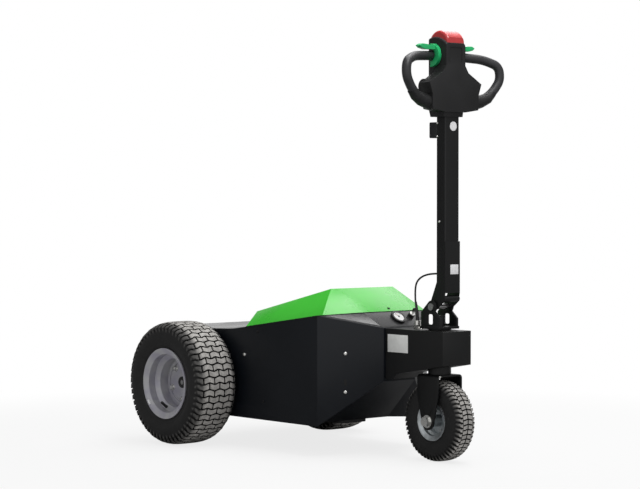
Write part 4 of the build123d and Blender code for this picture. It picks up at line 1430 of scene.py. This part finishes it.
# ------------------------------------------------------------------ whole vehicle
def dress_solids() -> None:
    """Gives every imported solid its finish, soft edges and smooth shading."""
    for finish, names in NODE_FINISHES.items():
        for name in names:
            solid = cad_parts[name]
            solid.data.materials.clear()
            solid.data.materials.append(finish.material())
    rounded = {name: width for width, names in SOFT_EDGES.items() for name in names}
    for name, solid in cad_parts.items():
        if name in rounded:
            weld = solid.modifiers.new("weld", "WELD")
            weld.merge_threshold = WELD_DISTANCE
            bevel = solid.modifiers.new("soft_edges", "BEVEL")
            bevel.width = rounded[name]
            bevel.segments = 3
            bevel.limit_method = "ANGLE"
            bevel.angle_limit = math.radians(20)
            bevel.harden_normals = False
        smooth = solid.modifiers.new("smooth", "NODES")
        smooth.node_group = smooth_group()
    LOG.info("dressed %d packed solids", len(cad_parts))


@dataclass(frozen=True)
class SoftBox:
    """A square lamp that is aimed at a point."""

    name: str
    place: Triple
    aim: Triple
    size: float
    power: float

    def build(self) -> None:
        """Adds the lamp."""
        data = bpy.data.lights.new(self.name, "AREA")
        data.shape = "SQUARE"
        data.size = self.size
        data.energy = self.power
        lamp = bpy.data.objects.new(self.name, data)
        lamp.location = self.place
        lamp.rotation_euler = (Vector(self.aim) - Vector(self.place)).to_track_quat("-Z", "Y").to_euler()
        bpy.context.scene.collection.objects.link(lamp)


@dataclass
class Studio:
    """Pale floor, even sky, soft lamps and the camera.

    Each ramp is (start, end, value before, value after), with 0 and 1 for values that aren't given. The floor
    fades to white between fade_from, in square metres, and a share of its own squared radius.
    """

    lens: float = 116.44
    eye: Triple = (5.153, -4.483, 0.818)
    turn: float = math.radians(49.36)
    pitch: float = math.radians(-1.26)
    floor_radius: float = 2.6
    floor_grey: Colour = (0.62, 0.62, 0.62)
    mirrored_grey: Colour = (0.05, 0.05, 0.05)
    mirrored_share: float = 0.65
    fade_from: float = 0.8
    fade_share: float = 0.8
    least_white: float = 0.8
    world_light: float = 0.62
    light_ramp: tuple[float, float, float, float] = (-0.4, 0.9, 0.55, 1.15)
    backdrop_way: Triple = (-0.76, 0.65, 0.0)
    backdrop_ramp: Pair = (0.35, 0.85)
    backdrop_top: Pair = (0.55, 0.2)
    room_way: Triple = (0.8, -0.6, 0.0)
    room_ramp: tuple[float, float, float, float] = (-0.45, 0.95, 0.08, 1.0)
    window_way: Triple = (0.15, 0.66, 0.70)
    window_ramp: tuple[float, float, float, float] = (0.78, 0.98, 0.0, 0.8)
    lamps: tuple[SoftBox, ...] = (
        SoftBox("overhead", (0.2, 0.4, 2.6), (0.1, 0.0, 0.4), 1.2, 26.0),
        SoftBox("left", (-0.8, 2.0, 2.3), (0.0, 0.0, 0.5), 1.8, 20.0),
        SoftBox("front", (1.45, -0.2, 2.6), (0.2, 0.0, 0.4), 0.8, 22.0),
    )

    def floor(self) -> None:
        """Adds the floor, which shows nearly white, keeps the shadow and is darker in reflections."""
        shape = bmesh.new()
        bmesh.ops.create_circle(shape, cap_ends=True, radius=self.floor_radius, segments=96)
        data = bpy.data.meshes.new("studio_floor")
        shape.to_mesh(data)
        shape.free()
        floor = bpy.data.objects.new("studio_floor", data)
        bpy.context.scene.collection.objects.link(floor)
        material = bpy.data.materials.new("studio_floor")
        self.shade_floor(Graph(material))
        data.materials.append(material)

    def shade_floor(self, graph: Graph) -> None:
        """Writes the floor's shader.

        Args:
            graph: the material's empty tree.
        """
        pale = graph.add("ShaderNodeBsdfDiffuse", sockets={"Color": (*self.floor_grey, 1)})
        dark = graph.add("ShaderNodeBsdfDiffuse", sockets={"Color": (*self.mirrored_grey, 1)})
        white = graph.add("ShaderNodeEmission", sockets={"Color": (1, 1, 1, 1), "Strength": 1.0})
        seen = graph.add("ShaderNodeLightPath", out="Is Camera Ray")
        mirrored = graph.output(seen, "Is Glossy Ray") * self.mirrored_share
        lit = graph.add("ShaderNodeMixShader", sockets={0: mirrored, 1: pale, 2: dark})
        x, y, _ = graph.parts(graph.place())
        fade_end = self.fade_share * self.floor_radius**2
        far = (x * x + y * y).ramp(self.fade_from, fade_end, self.least_white, 1.0)
        both = graph.add("ShaderNodeMixShader", sockets={0: seen * far, 1: lit, 2: white})
        graph.add("ShaderNodeOutputMaterial", sockets={"Surface": both})

    def sky(self) -> None:
        """Adds even light, with a white background in sight and bright sides in reflections."""
        world = bpy.data.worlds.new("studio_sky")
        bpy.context.scene.world = world
        graph = Graph(world)
        seen = graph.add("ShaderNodeLightPath", out="Is Camera Ray")
        mirrored = graph.output(seen, "Is Glossy Ray").larger(graph.output(seen, "Is Transmission Ray"))
        direction = graph.add("ShaderNodeTexCoord", out="Generated")
        height = graph.parts(direction)[2]
        backdrop = graph.along(direction, self.backdrop_way).ramp(*self.backdrop_ramp)
        backdrop = backdrop * height.ramp(*self.backdrop_top)
        room = graph.along(direction, self.room_way).ramp(*self.room_ramp)
        window = graph.along(direction, self.window_way).ramp(*self.window_ramp)
        even = height.ramp(*self.light_ramp) * self.world_light
        shown = backdrop.larger(room).larger(window)
        strength = seen + (1 - seen) * (mirrored * shown + (1 - mirrored) * even)
        light = graph.add("ShaderNodeBackground", sockets={"Color": (1, 1, 1, 1), "Strength": strength})
        graph.add("ShaderNodeOutputWorld", sockets={"Surface": light})

    def camera(self) -> None:
        """Adds the camera."""
        data = bpy.data.cameras.new("camera")
        data.lens = self.lens
        data.sensor_width = 36
        data.clip_end = 200
        camera = bpy.data.objects.new("camera", data)
        camera.location = self.eye
        camera.rotation_euler = (math.radians(90) + self.pitch, 0, self.turn)
        bpy.context.scene.collection.objects.link(camera)
        bpy.context.scene.camera = camera

    def build(self) -> None:
        """Sets up the whole studio."""
        self.floor()
        self.sky()
        for lamp in self.lamps:
            lamp.build()
        self.camera()
        bpy.context.scene.view_settings.view_transform = "Standard"
        LOG.info("studio is set")


def main() -> None:
    """Builds the studio and every sub-assembly in order."""
    logging.basicConfig(level=logging.INFO, format="%(name)s %(message)s")
    Studio().build()
    ControlCable().build()
    dress_solids()
    for side in Side:
        rear = LuggedTyre(f"tyre_{side.word}", f"rim_{side.word}", f"{side.word}_wheel", REAR_TREAD,
                          bead=0.1016, flare=0.009)
        rear.build()
        RearWheelTrim(side).build()
    front = LuggedTyre("tyre_front", "rim_front", "front_wheel", FRONT_TREAD, bead=0.0508, flare=0.006,
                       steps=112)
    front.build()
    FrontWheelTrim().build()
    Fixings().build()
    Signs().build()
    Dashboard().build()


if __name__ == "__main__":
    main()
